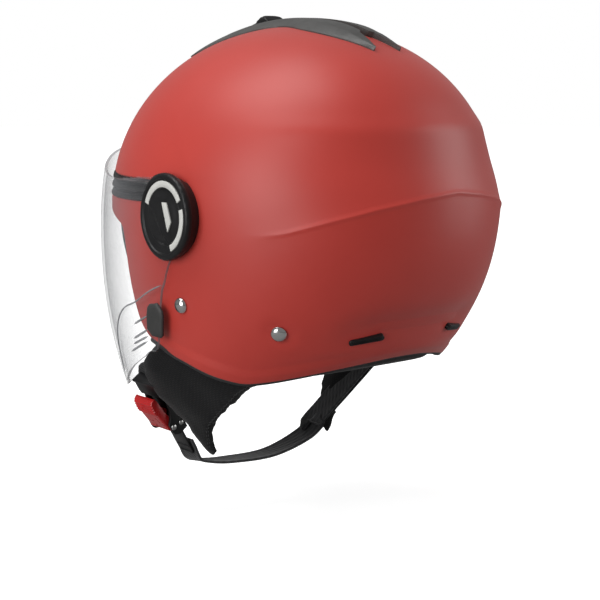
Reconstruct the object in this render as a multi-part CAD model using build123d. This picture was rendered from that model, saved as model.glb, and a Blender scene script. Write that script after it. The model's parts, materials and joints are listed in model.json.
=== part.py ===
from build123d import *
import os
from functools import cache
from math import cos, pi, radians, sin, sqrt

os.makedirs("parts", exist_ok=True)

# An open-face motorcycle helmet with a long clear visor, a drop-down sun visor
# and a chin strap with a ratchet buckle. Millimetres, +Z up. The wearer faces -Y
# and the wearer's left is +X. The origin is the middle of the head opening, level
# with the lowest point of the shell rim. Heights called "rise" are above the
# visor pivot, which is on the line y = 0, z = PIVOT_Z.

# Driving dimensions
PIVOT_Z = 113.0
SHELL_HALF_WIDTH = 121.0
SHELL_FRONT = 137.0
SHELL_REAR = 139.5
SHELL_CROWN = 124.5
ROUNDNESS = 2.15
WALL = 3.2
FIT = 0.3
EPS_OUT = WALL + FIT
EPS_IN = 32.0
LINER_IN = 41.0
PAD_IN = 52.0
VISOR_HALF_WIDTH = 123.6
VISOR_FRONT = 152.0
VISOR_THICK = 2.0
CAP_RADIUS = 28.6
SUN_Y = -13.6
SUN_RISE = -3.3
SUN_REACH = 118.4
SUN_SPREAD = 110.5
SUN_HALF = 92.0
SUN_THICK = 2.0
SLIDER_Y = 5.0
SLIDER_RISE = -34.0
WEB_WIDTH = 20.0
WEB_THICK = 1.6
HUGE = 200.0


# Shapes shared by the shell and the layers inside it
def extents(z, inset):
    """Half width, front reach and rear reach of the shell at height z."""
    rise = z - PIVOT_Z
    if rise > 0:
        share = rise / (SHELL_CROWN - inset)
        width = (SHELL_HALF_WIDTH - inset) * sqrt(1 - share**2.1)
        front = (SHELL_FRONT - inset) * sqrt(1 - share**2)
        rear = (SHELL_REAR - inset) * (1 - share**2.3) ** 0.4545
    else:
        drop = -rise / 100
        width = SHELL_HALF_WIDTH * (1 - 0.096 * drop**1.9) - inset
        front = SHELL_FRONT * (1 - 0.083 * drop**2) - inset
        rear = SHELL_REAR * (1 - 0.356 * drop**2.15) - inset
    return width, front, rear


def ring(z, width, front, rear, points=24):
    """A rounded closed curve at height z."""
    dots = []
    for step in range(points):
        angle = 2 * pi * step / points
        side = 1 if sin(angle) > 0 else -1
        x = width * side * abs(sin(angle)) ** (2 / ROUNDNESS)
        reach = -front if cos(angle) > 0 else rear
        dots.append((x, reach * abs(cos(angle)) ** (2 / ROUNDNESS), z))
    return Wire([Edge.make_spline(dots, periodic=True)])


@cache
def dome(inset):
    """The solid inside the shell surface, moved inwards by inset."""
    crown = SHELL_CROWN - inset
    heights = [-18, 8, 33, 58, 85, PIVOT_Z]
    heights += [PIVOT_Z + crown * sin(radians(a)) for a in (12, 25, 38, 50, 61, 71, 79, 85, 88.5)]
    rings = [ring(z, *extents(z, inset)) for z in heights]
    return Solid.make_loft(rings + [Vertex(0, 0, PIVOT_Z + crown)])


def layer(outer, inner):
    return dome(outer) - dome(inner)


def shell_point(y, rise, inset, side=1):
    """The point on the shell surface at a given y and rise, on one side."""
    width, front, rear = extents(PIVOT_Z + rise, inset)
    reach = front if y < 0 else rear
    return Vector(side * width * (1 - (abs(y) / reach) ** ROUNDNESS) ** (1 / ROUNDNESS), y, PIVOT_Z + rise)


def shell_plane(y, rise, inset, side=1):
    """A plane on the shell surface, facing outwards."""
    here = shell_point(y, rise, inset, side)
    along = shell_point(y + 1, rise, inset, side) - here
    up = shell_point(y, rise + 1, inset, side) - here
    normal = along.cross(up) * side
    return Plane(origin=here, x_dir=along, z_dir=normal)


def side_outline(*stretches):
    """A closed side-view face from stretches of (y, rise) points, two points to a straight line."""
    edges = []
    for stretch in stretches:
        dots = [(y, PIVOT_Z + rise) for y, rise in stretch]
        edges.append(Line(*dots) if len(dots) == 2 else Spline(*dots))
    return make_face(Curve() + edges)


def across(face, x_from=-HUGE, x_to=HUGE):
    """A side-view face stretched from one x to another."""
    return extrude(Plane.YZ.offset(x_from) * face, amount=x_to - x_from)


def side_box(y_from, y_to, rise_from, rise_to, x_from=-HUGE, x_to=HUGE):
    size = (x_to - x_from, y_to - y_from, rise_to - rise_from)
    middle = ((x_from + x_to) / 2, (y_from + y_to) / 2, PIVOT_Z + (rise_from + rise_to) / 2)
    return Pos(*middle) * Box(*size)


def bar_x(radius, x_from, x_to, y=0.0, rise=0.0):
    """A round bar along X."""
    plane = Plane(origin=(x_from, y, PIVOT_Z + rise), x_dir=(0, 1, 0), z_dir=(1, 0, 0))
    return plane * Cylinder(radius, x_to - x_from, align=(Align.CENTER, Align.CENTER, Align.MIN))


def web(path, facing, width, thick):
    """Flat webbing through a list of points, with the direction that its face looks at each."""
    rings = []
    for index, here in enumerate(path):
        before = Vector(*path[max(index - 1, 0)])
        after = Vector(*path[min(index + 1, len(path) - 1)])
        along = (after - before).normalized()
        face = Vector(*facing[index])
        across_dir = along.cross(face).normalized()
        plane = Plane(origin=(here[0], here[1], here[2] + PIVOT_Z), x_dir=across_dir, z_dir=along)
        rings.append((plane * Rectangle(width, thick)).wire())
    return Solid.make_loft(rings, ruled=True)


def save(part, name):
    export_step(part, "parts/" + name + ".step")


def mirrored(part):
    return mirror(part, about=Plane.YZ)


# Side-view lines of the shell
LIP = [(-150, 46), (-130, 38.5), (-108, 29), (-86, 24), (-60, 23), (-26, 23)]
CHEEK = [(-90, 8), (-83, -3), (-70, -6.5), (-61, -10), (-56.5, -20), (-53.5, -40), (-49.5, -58),
         (-43.5, -74), (-34, -86), (-24, -89.5)]
RIM = [(-24, -89.5), (-10, -95), (17, -106), (30, -111.2), (43, -113), (60, -110.5), (76, -106),
       (92, -101), (120, -98)]


def lifted(line, by):
    return [(y, rise + by) for y, rise in line]


opening = across(side_outline(
    [(-HUGE, 46), LIP[0]], LIP, [LIP[-1], (-26, 8)], [(-26, 8), CHEEK[0]], CHEEK, RIM,
    [RIM[-1], (HUGE, -98)], [(HUGE, -98), (HUGE, -HUGE)], [(HUGE, -HUGE), (-HUGE, -HUGE)],
    [(-HUGE, -HUGE), (-HUGE, 46)]))

# Rivets of the chin strap, two on each side: (y, rise)
RIVETS = [(5, -58.5), (72, -73)]
BASE_PLUG = 19.7
BASE_FLANGE = 23.0


# Outer shell
slider_slot = Pos(0, 6, PIVOT_Z + SHELL_CROWN) * Box(8, 96, 30)
vent_holes = Part() + [Pos(x, -66, PIVOT_Z + 105) * Box(9, 16, 40) for x in (-20, 20)]
exhausts = Part() + [
    shell_plane(103, -79, 0, side) * Rot(0, 0, 8 * side) * Box(24, 5, 20) for side in (1, -1)]
outer_shell = layer(0, WALL) - opening - slider_slot - vent_holes - exhausts
plug_room = bar_x(BASE_PLUG + FIT, 100, 130)
outer_shell -= plug_room + mirrored(plug_room)
for side in (1, -1):
    for y, rise in RIVETS:
        outer_shell -= shell_plane(y, rise, 0, side) * Cylinder(2.2, 20)
save(outer_shell, "outer_shell")

# Strap webbing, from the two rivets of a side to where they meet
OUTWARDS = (0.828, -0.042, -0.558)
BUCKLE = Plane(origin=(72, -68.5, PIVOT_Z - 138.4), x_dir=(0.001, 0.997, -0.0735), z_dir=OUTWARDS)


def at_buckle(x, y, z):
    """A point of the buckle's own frame, as x, y and rise."""
    here = BUCKLE.from_local_coords(Vector(x, y, z))
    return here.X, here.Y, here.Z - PIVOT_Z


LEFT_MEET = at_buckle(0, 22, -1.2)
LEFT_END = at_buckle(0, 11, -1.2)
LEFT_LEGS = [
    ([(112.0, 4, -53), (104.5, 0, -88), (98, -25, -104), LEFT_MEET, LEFT_END],
     [(1, 0, -0.12), (1, 0, -0.25), (0.9, -0.2, -0.4), OUTWARDS, OUTWARDS]),
    ([(90.4, 69.4, -67), (78.2, 61.4, -92), (84, 10, -108), LEFT_MEET, LEFT_END],
     [(0.75, 0.6, -0.25), (0.8, 0.5, -0.35), (0.9, 0, -0.4), OUTWARDS, OUTWARDS])]
RIGHT_MEET = (-60, -40, -160)
RIGHT_LEGS = [
    ([(-112.0, 4, -53), (-104.5, 0, -88), (-90, -15, -115), RIGHT_MEET],
     [(-1, 0, -0.12), (-1, 0, -0.25), (-0.9, 0, -0.4), (-0.8, 0, -0.6)]),
    ([(-90.4, 69.4, -67), (-78.2, 61.4, -92), (-74, 2, -124), RIGHT_MEET],
     [(-0.75, 0.6, -0.25), (-0.8, 0.5, -0.35), (-0.85, 0.1, -0.5), (-0.8, 0, -0.6)])]


def strap(legs, extra=0.0):
    joined = Part()
    for path, facing in legs:
        joined += web(path, facing, WEB_WIDTH + extra, WEB_THICK + extra)
    return joined


straps = {1: strap(LEFT_LEGS), -1: strap(RIGHT_LEGS)}
strap_rooms = {1: strap(LEFT_LEGS, 1.2), -1: strap(RIGHT_LEGS, 1.2)}
rivets = Part()
washers = Part()
for side in (1, -1):
    for y, rise in RIVETS:
        seat = shell_plane(y, rise, 0, side)
        straps[side] -= seat * Cylinder(2.3, 30)
        head = Pos(0, 0, -2.4) * Sphere(7.2) & Pos(0, 0, 2.7) * Box(12, 12, 5)
        head &= Cylinder(5, 20)
        shank = Pos(0, 0, -4.5) * Cylinder(1.9, 9.6)
        rivets += seat * (head + shank)
        washers += seat * Pos(0, 0, -8.1) * (Cylinder(6, 1) - Cylinder(2.05, 3))
for side in (1, -1):
    for y, rise in RIVETS:
        straps[side] -= shell_plane(y, rise, 0, side) * Pos(0, 0, -8.1) * Cylinder(6.4, 1.8)
save(rivets, "strap_rivets")
save(washers, "rivet_washers")

# Foam liner of expanded polystyrene, with pockets for everything between it and the shell
foam_edge = across(side_outline(
    [(-HUGE, 16), (-72, 16)], [(-72, 16), (-54, 8), (-47, -18), (-44, -45), (-36, -68), (-24, -80)],
    [(-24, -80), (40, -84)], [(40, -84), (HUGE, -84)], [(HUGE, -84), (HUGE, -HUGE)],
    [(HUGE, -HUGE), (-HUGE, -HUGE)], [(-HUGE, -HUGE), (-HUGE, 16)]))


def sun_profile(grow_out, grow_in, half):
    """The sun visor's bow from side to side, across X and away from its axis."""
    def reach(x, grow):
        return (SUN_REACH + grow) * (1 - (abs(x) / (SUN_SPREAD + grow)) ** ROUNDNESS) ** (1 / ROUNDNESS)
    steps = [half * s / 6 for s in range(-6, 7)]
    outside = [(x, reach(x, grow_out)) for x in steps]
    inside = [(x, reach(x, -SUN_THICK - grow_in)) for x in reversed(steps)]
    return make_face(Curve() + [
        Spline(*outside), Line(outside[-1], inside[0]), Spline(*inside), Line(inside[-1], outside[0])])


def sun_band(angle_from, angle_to, grow_out=0.0, grow_in=0.0, half=SUN_HALF):
    """The bow swept about the sun visor's axis, from one angle above straight ahead to another."""
    start = radians(angle_from)
    outwards = Vector(0, -cos(start), sin(start))
    plane = Plane(origin=(0, SUN_Y, PIVOT_Z + SUN_RISE), x_dir=(1, 0, 0),
                  z_dir=Vector(1, 0, 0).cross(outwards))
    axis = Axis((0, SUN_Y, PIVOT_Z + SUN_RISE), (-1, 0, 0))
    return revolve(plane * sun_profile(grow_out, grow_in, half), axis=axis,
                   revolution_arc=angle_to - angle_from)


eps_liner = layer(EPS_OUT, EPS_IN) - foam_edge
eps_liner -= sun_band(-30, 56, 12, 1.5, SUN_HALF + 1.5)
for side in (1, -1):
    arm_room = bar_x(76, 90, 130, SUN_Y, SUN_RISE) & side_box(-110, 4, -50, 80)
    pivot_room = bar_x(26, 88, 130)
    rooms = arm_room + pivot_room
    eps_liner -= rooms if side > 0 else mirrored(rooms)
    eps_liner -= strap_rooms[side]
    for y, rise in RIVETS:
        eps_liner -= shell_plane(y, rise, 0, side) * Cylinder(9, 28)
eps_liner -= Pos(0, 6, PIVOT_Z + SHELL_CROWN) * Box(26, 116, 48)
eps_liner -= exhausts
save(eps_liner, "eps_liner")

# Comfort lining
crown_line = across(side_outline(
    [(-HUGE, 26), (-60, 20)], [(-60, 20), (0, -2)], [(0, -2), (HUGE, -20)], [(HUGE, -20), (HUGE, -HUGE)],
    [(HUGE, -HUGE), (-HUGE, -HUGE)], [(-HUGE, -HUGE), (-HUGE, 26)]))
crown_liner = layer(EPS_IN + FIT, LINER_IN) - crown_line
save(crown_liner, "crown_liner")

cheek_shape = across(side_outline(
    [(-38, -14), (30, -18)], [(30, -18), (34, -78)], [(34, -78), (-22, -78)],
    [(-22, -78), (-34, -68), (-40, -45), (-41, -22), (-38, -14)]), 0, HUGE)
cheek_pad = layer(EPS_IN + FIT, PAD_IN) & cheek_shape
save(cheek_pad, "cheek_pad_left")
save(mirrored(cheek_pad), "cheek_pad_right")

# Strap sleeves of fabric, between the rim and the jaw
def sleeve_section(rise, front, rear, thick):
    """A slanted strip, from its front (x, y) to its rear (x, y)."""
    along = Vector(rear[0] - front[0], rear[1] - front[1], 0)
    out = Vector(along.Y, -along.X, 0).normalized() * (thick / 2)
    dots = []
    for (x, y), sign in ((front, 1), (rear, 1), (rear, -1), (front, -1)):
        dots.append((x + sign * out.X, y + sign * out.Y, PIVOT_Z + rise))
    return Wire.make_polygon(dots, close=True)


# Rear edge of each sleeve at its five levels, as (x, y) for the left; the right one lies tucked in
SLEEVE_REAR = {1: [(84, 42), (80, 40), (76, 15), (69, -12), (56, -24)],
               -1: [(88, 8), (80, -5), (73, -12), (66, -25), (56, -26)]}


def sleeve_solid(side, extra=0.0):
    rear = SLEEVE_REAR[side]
    solid = Solid.make_loft([
        sleeve_section(-97, (93, -24 - extra), (rear[0][0], rear[0][1] + extra), 9 + extra),
        sleeve_section(-114, (90, -56), rear[1], 9 + extra),
        sleeve_section(-131, (80, -57), rear[2], 9 + extra),
        sleeve_section(-150, (67, -49), rear[3], 8 + extra),
        sleeve_section(-174, (54, -34), rear[4], 7 + extra)], ruled=True)
    return solid if side > 0 else mirrored(solid)


roll_line = [(-18, -81), (40, -85), (76, -85), (120, -85)]
roll_shape = across(side_outline(
    roll_line, [(120, -85), (120, -97)],
    [(120, -97), (92, -99), (60, -106), (43, -107), (20, -102), (-18, -88)], [(-18, -88), (-18, -81)]))
neck_roll = (layer(7, 45) & roll_shape) - strap_rooms[1] - strap_rooms[-1]
neck_roll = neck_roll - sleeve_solid(1, 1.4) - sleeve_solid(-1, 1.4)
save(neck_roll, "neck_roll")

# Rubber edging under the rim
trim_shape = across(side_outline(
    lifted(RIM, -0.1), [(120, -98.1), (120, -101)], list(reversed(lifted(RIM, -3.0))),
    [(-24, -92.5), (-24, -89.6)]))
rim_trim = layer(0.8, 4.4) & trim_shape
save(rim_trim, "rim_trim")

# Brow seal under the shell's front lip
brow_shape = across(side_outline(
    lifted(LIP, -FIT), [(-26, 23 - FIT), (-26, 8 + FIT)], [(-26, 8 + FIT), (-90, 8 + FIT)],
    [(-90, 8 + FIT), (-108, 10), (-130, 17), (-150, 24)], [(-150, 24), (-150, 46 - FIT)]))
brow_gasket = layer(0.6, 3.2) & brow_shape
save(brow_gasket, "brow_gasket")

# Visor pivots: base plate in the shell, screw, nut and outer cap
PLUG_END = VISOR_HALF_WIDTH - VISOR_THICK - 1.3
pivot_base = bar_x(BASE_FLANGE, 113.4, 115.9) + bar_x(BASE_PLUG, 115.9, PLUG_END)
pivot_base += bar_x(7.9, PLUG_END, VISOR_HALF_WIDTH + 0.4)
pivot_base += bar_x(5, 95.2, 113.4, SUN_Y, SUN_RISE) + bar_x(2.95, 91, 95.2, SUN_Y, SUN_RISE)
pivot_base -= bar_x(2.6, 90, 130)
save(pivot_base, "pivot_base_left")
save(mirrored(pivot_base), "pivot_base_right")

CAP_IN = VISOR_HALF_WIDTH + 0.5
CAP_FACE = 128.5
CAP_TILT = 6.0
cap_plane = Plane(origin=(CAP_FACE, 0, PIVOT_Z), x_dir=(0, 1, 0),
                  z_dir=(cos(radians(CAP_TILT)), -sin(radians(CAP_TILT)), 0))
cap = bar_x(CAP_RADIUS, CAP_IN, 140)
skirt = (bar_x(CAP_RADIUS, 115, CAP_IN) - bar_x(CAP_RADIUS - 1.7, 115, CAP_IN)) & side_box(13, 60, -60, 60)
skirt -= dome(-0.2)
cap += skirt
cap -= cap_plane * Pos(0, 0, 15) * Box(90, 90, 30)
cap -= cap_plane * Cylinder(24.5, 3.2)
cap += cap_plane * Pos(0, 0, -0.8) * (Cylinder(17, 1.6) - Pos(-17, 0, 0) * Box(14, 60, 8))
cap -= bar_x(4.9, 100, CAP_FACE - 3.2)
save(cap, "pivot_cap_left")
save(mirrored(cap), "pivot_cap_right")

arcs = Part()
for start, spread in ((35, 110), (-75, 85)):
    corners = [(0, 0)] + [(40 * cos(radians(start + spread * k / 4)), 40 * sin(radians(start + spread * k / 4)))
                          for k in range(5)]
    wedge = extrude(make_face(Polyline(*corners, close=True)), amount=0.6, both=True)
    arcs += cap_plane * Pos(0, 0, -0.95) * (wedge & (Cylinder(23.6, 4) - Cylinder(19.2, 6)))
save(arcs, "cap_inlays_left")
save(mirrored(arcs), "cap_inlays_right")

screw = bar_x(2.5, 104, CAP_IN + 0.2) + bar_x(4.6, CAP_IN + 0.2, CAP_IN + 1.1)
nut = bar_x(5.5, 109.2, 113.2) - bar_x(2.55, 100, 120)
save(screw + mirrored(screw), "pivot_screws")
save(nut + mirrored(nut), "pivot_nuts")


# Clear visor
@cache
def visor_dome(inset):
    rings = []
    for rise in (-127, -110, -92, -72, -50, -28, -12, 5, 22, 40, 55):
        if rise < -15:
            share = 1 - 0.109 * ((-15 - rise) / 106) ** 2.25
        else:
            share = 1 - 0.085 * ((rise + 15) / 58) ** 2
        width = VISOR_HALF_WIDTH * (share if rise < -15 else 1 - (1 - share) * 0.12)
        rings.append(ring(PIVOT_Z + rise, width - inset, VISOR_FRONT * share - inset, 500))
    return Solid.make_loft(rings)


VISOR_TOP = [(-12, 21.5), (-60, 21.5), (-86, 23), (-108, 28.5), (-130, 38), (-170, 52)]
VISOR_LOW = [(-170, -124), (-120, -123.5), (-83, -119), (-53, -104), (-38, -97), (-25, -88)]
VISOR_BACK = [(-25, -88), (-19, -72), (-16, -55), (-12, -36), (-9, -22)]
visor_shape = across(side_outline(
    VISOR_TOP, [(-170, 52), (-170, -124)], VISOR_LOW, VISOR_BACK, [(-9, -22), (0, 0)], [(0, 0), (-12, 21.5)]))
visor_shape += bar_x(26, -130, 130)
visor = ((visor_dome(0) - visor_dome(VISOR_THICK)) & visor_shape) - bar_x(8.0, -130, 130)
save(visor, "visor")

bumper_shape = across(side_outline(
    [(-29, -62), (-19, -60)], [(-19, -60), (-13, -66)], [(-13, -66), (-16, -80)],
    [(-16, -80), (-28, -80)], [(-28, -80), (-29, -62)]), 0)
bumper = (visor_dome(-1.6) - visor_dome(-0.1)) & bumper_shape
save(bumper, "visor_bumper_left")
save(mirrored(bumper), "visor_bumper_right")

# Sun visor with its two side arms
sun_visor = sun_band(-24, 17)
arm_face = side_outline(
    [(SUN_Y + 7, SUN_RISE), (SUN_Y, SUN_RISE - 8)], [(SUN_Y, SUN_RISE - 8), (SUN_Y - 66, SUN_RISE - 20)],
    [(SUN_Y - 66, SUN_RISE - 20), (SUN_Y - 69, SUN_RISE + 14)], [(SUN_Y - 69, SUN_RISE + 14), (SUN_Y, SUN_RISE + 8)],
    [(SUN_Y, SUN_RISE + 8), (SUN_Y + 7, SUN_RISE)])
arm = across(arm_face, SUN_HALF - 0.6, SUN_HALF + 1.4) & bar_x(70, 80, 120, SUN_Y, SUN_RISE)
arm = arm + bar_x(6, SUN_HALF - 0.6, SUN_HALF + 1.4, SUN_Y, SUN_RISE)
arm -= bar_x(3.0, 80, 120, SUN_Y, SUN_RISE)
sun_visor = sun_visor + arm + mirrored(arm)
save(sun_visor, "sun_visor")

# Top cover on the crown, with the sun visor's slider and a vent slider
plan = Polyline((0, -92), (30, -76), (52, -54), (36, -22), (23, -6), (21, 6), (26, 28), (25, 48),
                (12, 80), (7, 60), (3, 58), (-3, 58), (-7, 60), (-12, 80), (-25, 48), (-26, 28),
                (-21, 6), (-23, -6), (-36, -22), (-52, -54), (-30, -76), close=True)
plan_column = extrude(Plane.XY.offset(PIVOT_Z + 40) * make_face(plan), amount=120)
top_cover = (dome(-3.2) - dome(-0.1)) & plan_column
top_cover -= Pos(0, 6, PIVOT_Z + SHELL_CROWN) * Box(7, 94, 30)
top_cover -= Pos(0, -58.5, PIVOT_Z + 110) * Box(24, 23, 40)
save(top_cover, "top_cover")


def crown_arc(radius_from, radius_to, half_width, angle_from, angle_to):
    """A piece of a tyre-like band about the slider's axis; angles are back from straight up."""
    size = HUGE * 2
    axis_bar = bar_x(radius_to, -half_width, half_width, SLIDER_Y, SLIDER_RISE)
    axis_bar -= bar_x(radius_from, -half_width - 1, half_width + 1, SLIDER_Y, SLIDER_RISE)
    hinge = Pos(0, SLIDER_Y, PIVOT_Z + SLIDER_RISE)
    before = hinge * Rot(-angle_from, 0, 0) * Pos(0, size / 2, 0) * Box(size, size, size)
    after = hinge * Rot(-angle_to, 0, 0) * Pos(0, -size / 2, 0) * Box(size, size, size)
    top_half = hinge * Pos(0, 0, size / 2) * Box(size, size, size)
    return axis_bar & before & after & top_half


CROWN_RADIUS = SHELL_CROWN - SLIDER_RISE
slider = crown_arc(CROWN_RADIUS + 4.7, CROWN_RADIUS + 10, 9, -17.1, -9.9)
slider += crown_arc(CROWN_RADIUS - 7, CROWN_RADIUS + 4.9, 2.8, -15.3, -11.7)
slider += crown_arc(CROWN_RADIUS - 9, CROWN_RADIUS - 6.8, 8, -16.5, -10.5)
save(slider, "sun_visor_slider")

# Vent slider in front of the knob
vent_seat = Plane(origin=(0, -55, PIVOT_Z + 114.0), x_dir=(1, 0, 0), z_dir=(0, -0.37, 0.929))
vent_slider = vent_seat * (Pos(0, -1, 2.6) * Box(18, 12, 3.2) + Pos(0, -1, 5) * Box(8, 6, 2.4))
save(vent_slider, "vent_slider")

# Exhaust grilles in the rear slots
grilles = Part()
for side in (1, -1):
    grilles += shell_plane(103, -79, 0, side) * Rot(0, 0, 8 * side) * Pos(0, 0, -2.2) * Box(23.4, 4.4, 3.2)
save(grilles, "exhaust_grilles")


for side, name in ((1, "left"), (-1, "right")):
    save(sleeve_solid(side) - strap_rooms[side], "strap_sleeve_" + name)

# Ratchet buckle. Its own frame has x across the strap, y up the strap and z outwards.
PIN_Y = -15.0
PIN_Z = 6.0


def buckle_box(x_half, y_from, y_to, z_from, z_to, x_mid=0.0):
    middle = (x_mid, (y_from + y_to) / 2, (z_from + z_to) / 2)
    return Pos(*middle) * Box(2 * x_half, y_to - y_from, z_to - z_from)


def cross_bar(radius, half, y=PIN_Y, z=PIN_Z):
    return Pos(0, y, z) * Rot(0, 90, 0) * Cylinder(radius, 2 * half)


frame = buckle_box(12, -21, 19, -4.4, -2.2)
frame += buckle_box(12, -21, -9, -2.2, 8) - buckle_box(9.7, -22, -8, -2.2, 9)
frame -= cross_bar(1.5, 20)
rivet_holes = Part() + [Pos(x, 15, -2) * Cylinder(1.5, 8) for x in (-6, 6)]
frame -= rivet_holes
straps[1] -= BUCKLE * rivet_holes
frame -= buckle_box(1, -19, -17, -6, 0)
save(BUCKLE * frame, "buckle_frame")
save(BUCKLE * (cross_bar(1.46, 12.0) + Pos(12.6, 0, 0) * cross_bar(2.2, 0.6)), "buckle_pin")

lever_side = make_face(Curve() + [
    Spline((16, 9), (13, 12.6), (4, 12.6), (-8, 11.6), (-17, 9.4)), Line((-17, 9.4), (-17, 7)),
    Line((-17, 7), (-15, 2.2)), Line((-15, 2.2), (-11, 3.4)), Line((-11, 3.4), (-5, 4)),
    Line((-5, 4), (-3.5, 1.0)), Line((-3.5, 1.0), (-2, 5)), Line((-2, 5), (14, 7)), Line((14, 7), (16, 9))])
lever = extrude(Plane.YZ * lever_side, amount=9.4, both=True)
lever -= cross_bar(1.56, 20)
lever -= buckle_box(3.2, -24, -9.6, 0, 9.2)
save(BUCKLE * lever, "buckle_lever")

coil_path = Helix(pitch=1.3, height=3.9, radius=2.35)
coil_start = Plane(origin=coil_path @ 0, z_dir=coil_path % 0)
coil = sweep(coil_start * Circle(0.4), path=coil_path, is_frenet=True)
save(BUCKLE * Pos(-1.95, PIN_Y, PIN_Z) * Rot(0, 90, 0) * coil, "buckle_spring")

TONGUE_TRAVEL = 35.0
tongue = buckle_box(7.5, -48, 8, -1.9, -0.1)
teeth = Part() + [buckle_box(6, y, y + 1.2, -0.2, 0.6) for y in range(-12, 8, 3)]
tongue = tongue + teeth - buckle_box(5.5, -46, -42, -4, 4)
save(BUCKLE * tongue, "buckle_tongue")

buckle_rivets = Part()
for x in (-6, 6):
    buckle_rivets += Pos(x, 15, -2.4) * Cylinder(1.45, 4.2)
    buckle_rivets += Pos(x, 15, 0.1) * Cylinder(2.6, 0.9)
    buckle_rivets += Pos(x, 15, -4.9) * Cylinder(2.6, 0.9)
save(BUCKLE * buckle_rivets, "buckle_rivets")
left_webbing = straps[1] - BUCKLE * frame - BUCKLE * buckle_rivets
save(left_webbing.solids().sort_by(SortBy.VOLUME)[-1], "strap_webbing_left")
save(straps[-1], "strap_webbing_right")

# Chin band, from the tongue under the chin to the right strap
band = web([(43.9, -71.4, -179.8), (34, -70, -186), (12, -64, -188), (-20, -54, -186), (-46, -45, -174),
            (-58.5, -40.5, -162)],
           [(0.83, 0, -0.56), (0.4, 0, -0.9), (0, 0, -1), (-0.2, 0, -1), (-0.6, 0, -0.8), (-0.8, 0, -0.6)],
           WEB_WIDTH, WEB_THICK)
band -= sleeve_solid(-1)
band -= strap_rooms[-1]
band = band.solids().sort_by(SortBy.VOLUME)[-1]
save(band, "chin_band")
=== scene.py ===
import bpy
import bmesh
import json
from math import acos, asin, cos, degrees, exp, pi, radians, sin, sqrt, tan
from mathutils import Matrix, Vector, noise

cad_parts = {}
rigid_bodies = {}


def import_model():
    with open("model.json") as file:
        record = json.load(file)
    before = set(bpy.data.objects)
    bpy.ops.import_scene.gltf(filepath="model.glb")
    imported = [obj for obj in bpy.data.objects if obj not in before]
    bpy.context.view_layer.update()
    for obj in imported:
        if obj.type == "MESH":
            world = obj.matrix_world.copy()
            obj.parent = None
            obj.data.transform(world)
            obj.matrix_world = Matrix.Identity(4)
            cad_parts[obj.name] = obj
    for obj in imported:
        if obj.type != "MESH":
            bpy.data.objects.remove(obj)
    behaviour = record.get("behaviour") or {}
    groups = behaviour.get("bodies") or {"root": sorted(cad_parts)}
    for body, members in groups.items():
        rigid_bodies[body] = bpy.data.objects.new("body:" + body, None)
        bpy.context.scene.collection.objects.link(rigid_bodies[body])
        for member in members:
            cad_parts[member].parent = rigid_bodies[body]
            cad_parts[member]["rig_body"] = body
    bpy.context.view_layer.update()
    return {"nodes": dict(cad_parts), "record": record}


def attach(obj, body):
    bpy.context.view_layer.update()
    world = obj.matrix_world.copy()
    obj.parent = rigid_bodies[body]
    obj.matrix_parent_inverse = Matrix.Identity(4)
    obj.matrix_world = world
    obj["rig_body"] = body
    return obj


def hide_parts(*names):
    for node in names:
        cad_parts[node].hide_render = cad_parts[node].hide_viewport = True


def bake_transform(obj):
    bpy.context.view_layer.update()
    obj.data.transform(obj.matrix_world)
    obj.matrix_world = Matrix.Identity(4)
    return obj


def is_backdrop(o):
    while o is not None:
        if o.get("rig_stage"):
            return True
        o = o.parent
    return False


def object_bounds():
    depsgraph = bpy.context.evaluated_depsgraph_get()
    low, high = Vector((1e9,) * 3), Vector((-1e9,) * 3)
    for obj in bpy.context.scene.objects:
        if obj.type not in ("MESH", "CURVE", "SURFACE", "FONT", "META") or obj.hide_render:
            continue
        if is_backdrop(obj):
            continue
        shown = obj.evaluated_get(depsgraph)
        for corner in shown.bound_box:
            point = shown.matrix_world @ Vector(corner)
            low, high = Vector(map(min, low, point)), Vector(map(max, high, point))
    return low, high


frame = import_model()

# Everything below is worked out in millimetres in the CAD frame and scaled when a mesh is made.
MM = 0.001
JOINTS = {joint["name"]: joint for joint in frame["record"]["behaviour"]["joints"]}
PIVOT_Z = JOINTS["visor_hinge"]["pos_m"][2] / MM

# Shell shape: half sizes of its level sections above and below the visor pivot
HALF_WIDTH = 121.0
FRONT = 137.0
REAR = 139.5
CROWN = 124.5
ROUNDNESS = 2.15
WALL = 3.2


# ---------------------------------------------------------------- small tools
def smooth(low, high, value):
    """0 below low, 1 above high, with a soft turn between."""
    if high == low:
        return 1.0 if value > high else 0.0
    t = min(max((value - low) / (high - low), 0.0), 1.0)
    return t * t * (3 - 2 * t)


def mix(a, b, t):
    return a + (b - a) * t


def bump(distance, width):
    return exp(-(distance / width) ** 2)


def curve_points(dots, per_span=12):
    """A smooth curve through a few points (Catmull-Rom)."""
    dots = [Vector(dot) for dot in dots]
    ends = [2 * dots[0] - dots[1]] + dots + [2 * dots[-1] - dots[-2]]
    out = []
    for i in range(1, len(ends) - 2):
        p0, p1, p2, p3 = ends[i - 1:i + 3]
        for step in range(per_span):
            t = step / per_span
            out.append(0.5 * ((2 * p1) + (p2 - p0) * t + (2 * p0 - 5 * p1 + 4 * p2 - p3) * t * t
                              + (3 * p1 - p0 - 3 * p2 + p3) * t ** 3))
    out.append(dots[-1].copy())
    return out


def along(dots, x):
    """Height of a curve of (x, height) points at x, with the points in rising order of x."""
    if x <= dots[0][0]:
        return dots[0][1]
    for a, b in zip(dots, dots[1:]):
        if x <= b[0]:
            return mix(a[1], b[1], (x - a[0]) / max(b[0] - a[0], 1e-9))
    return dots[-1][1]


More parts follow.
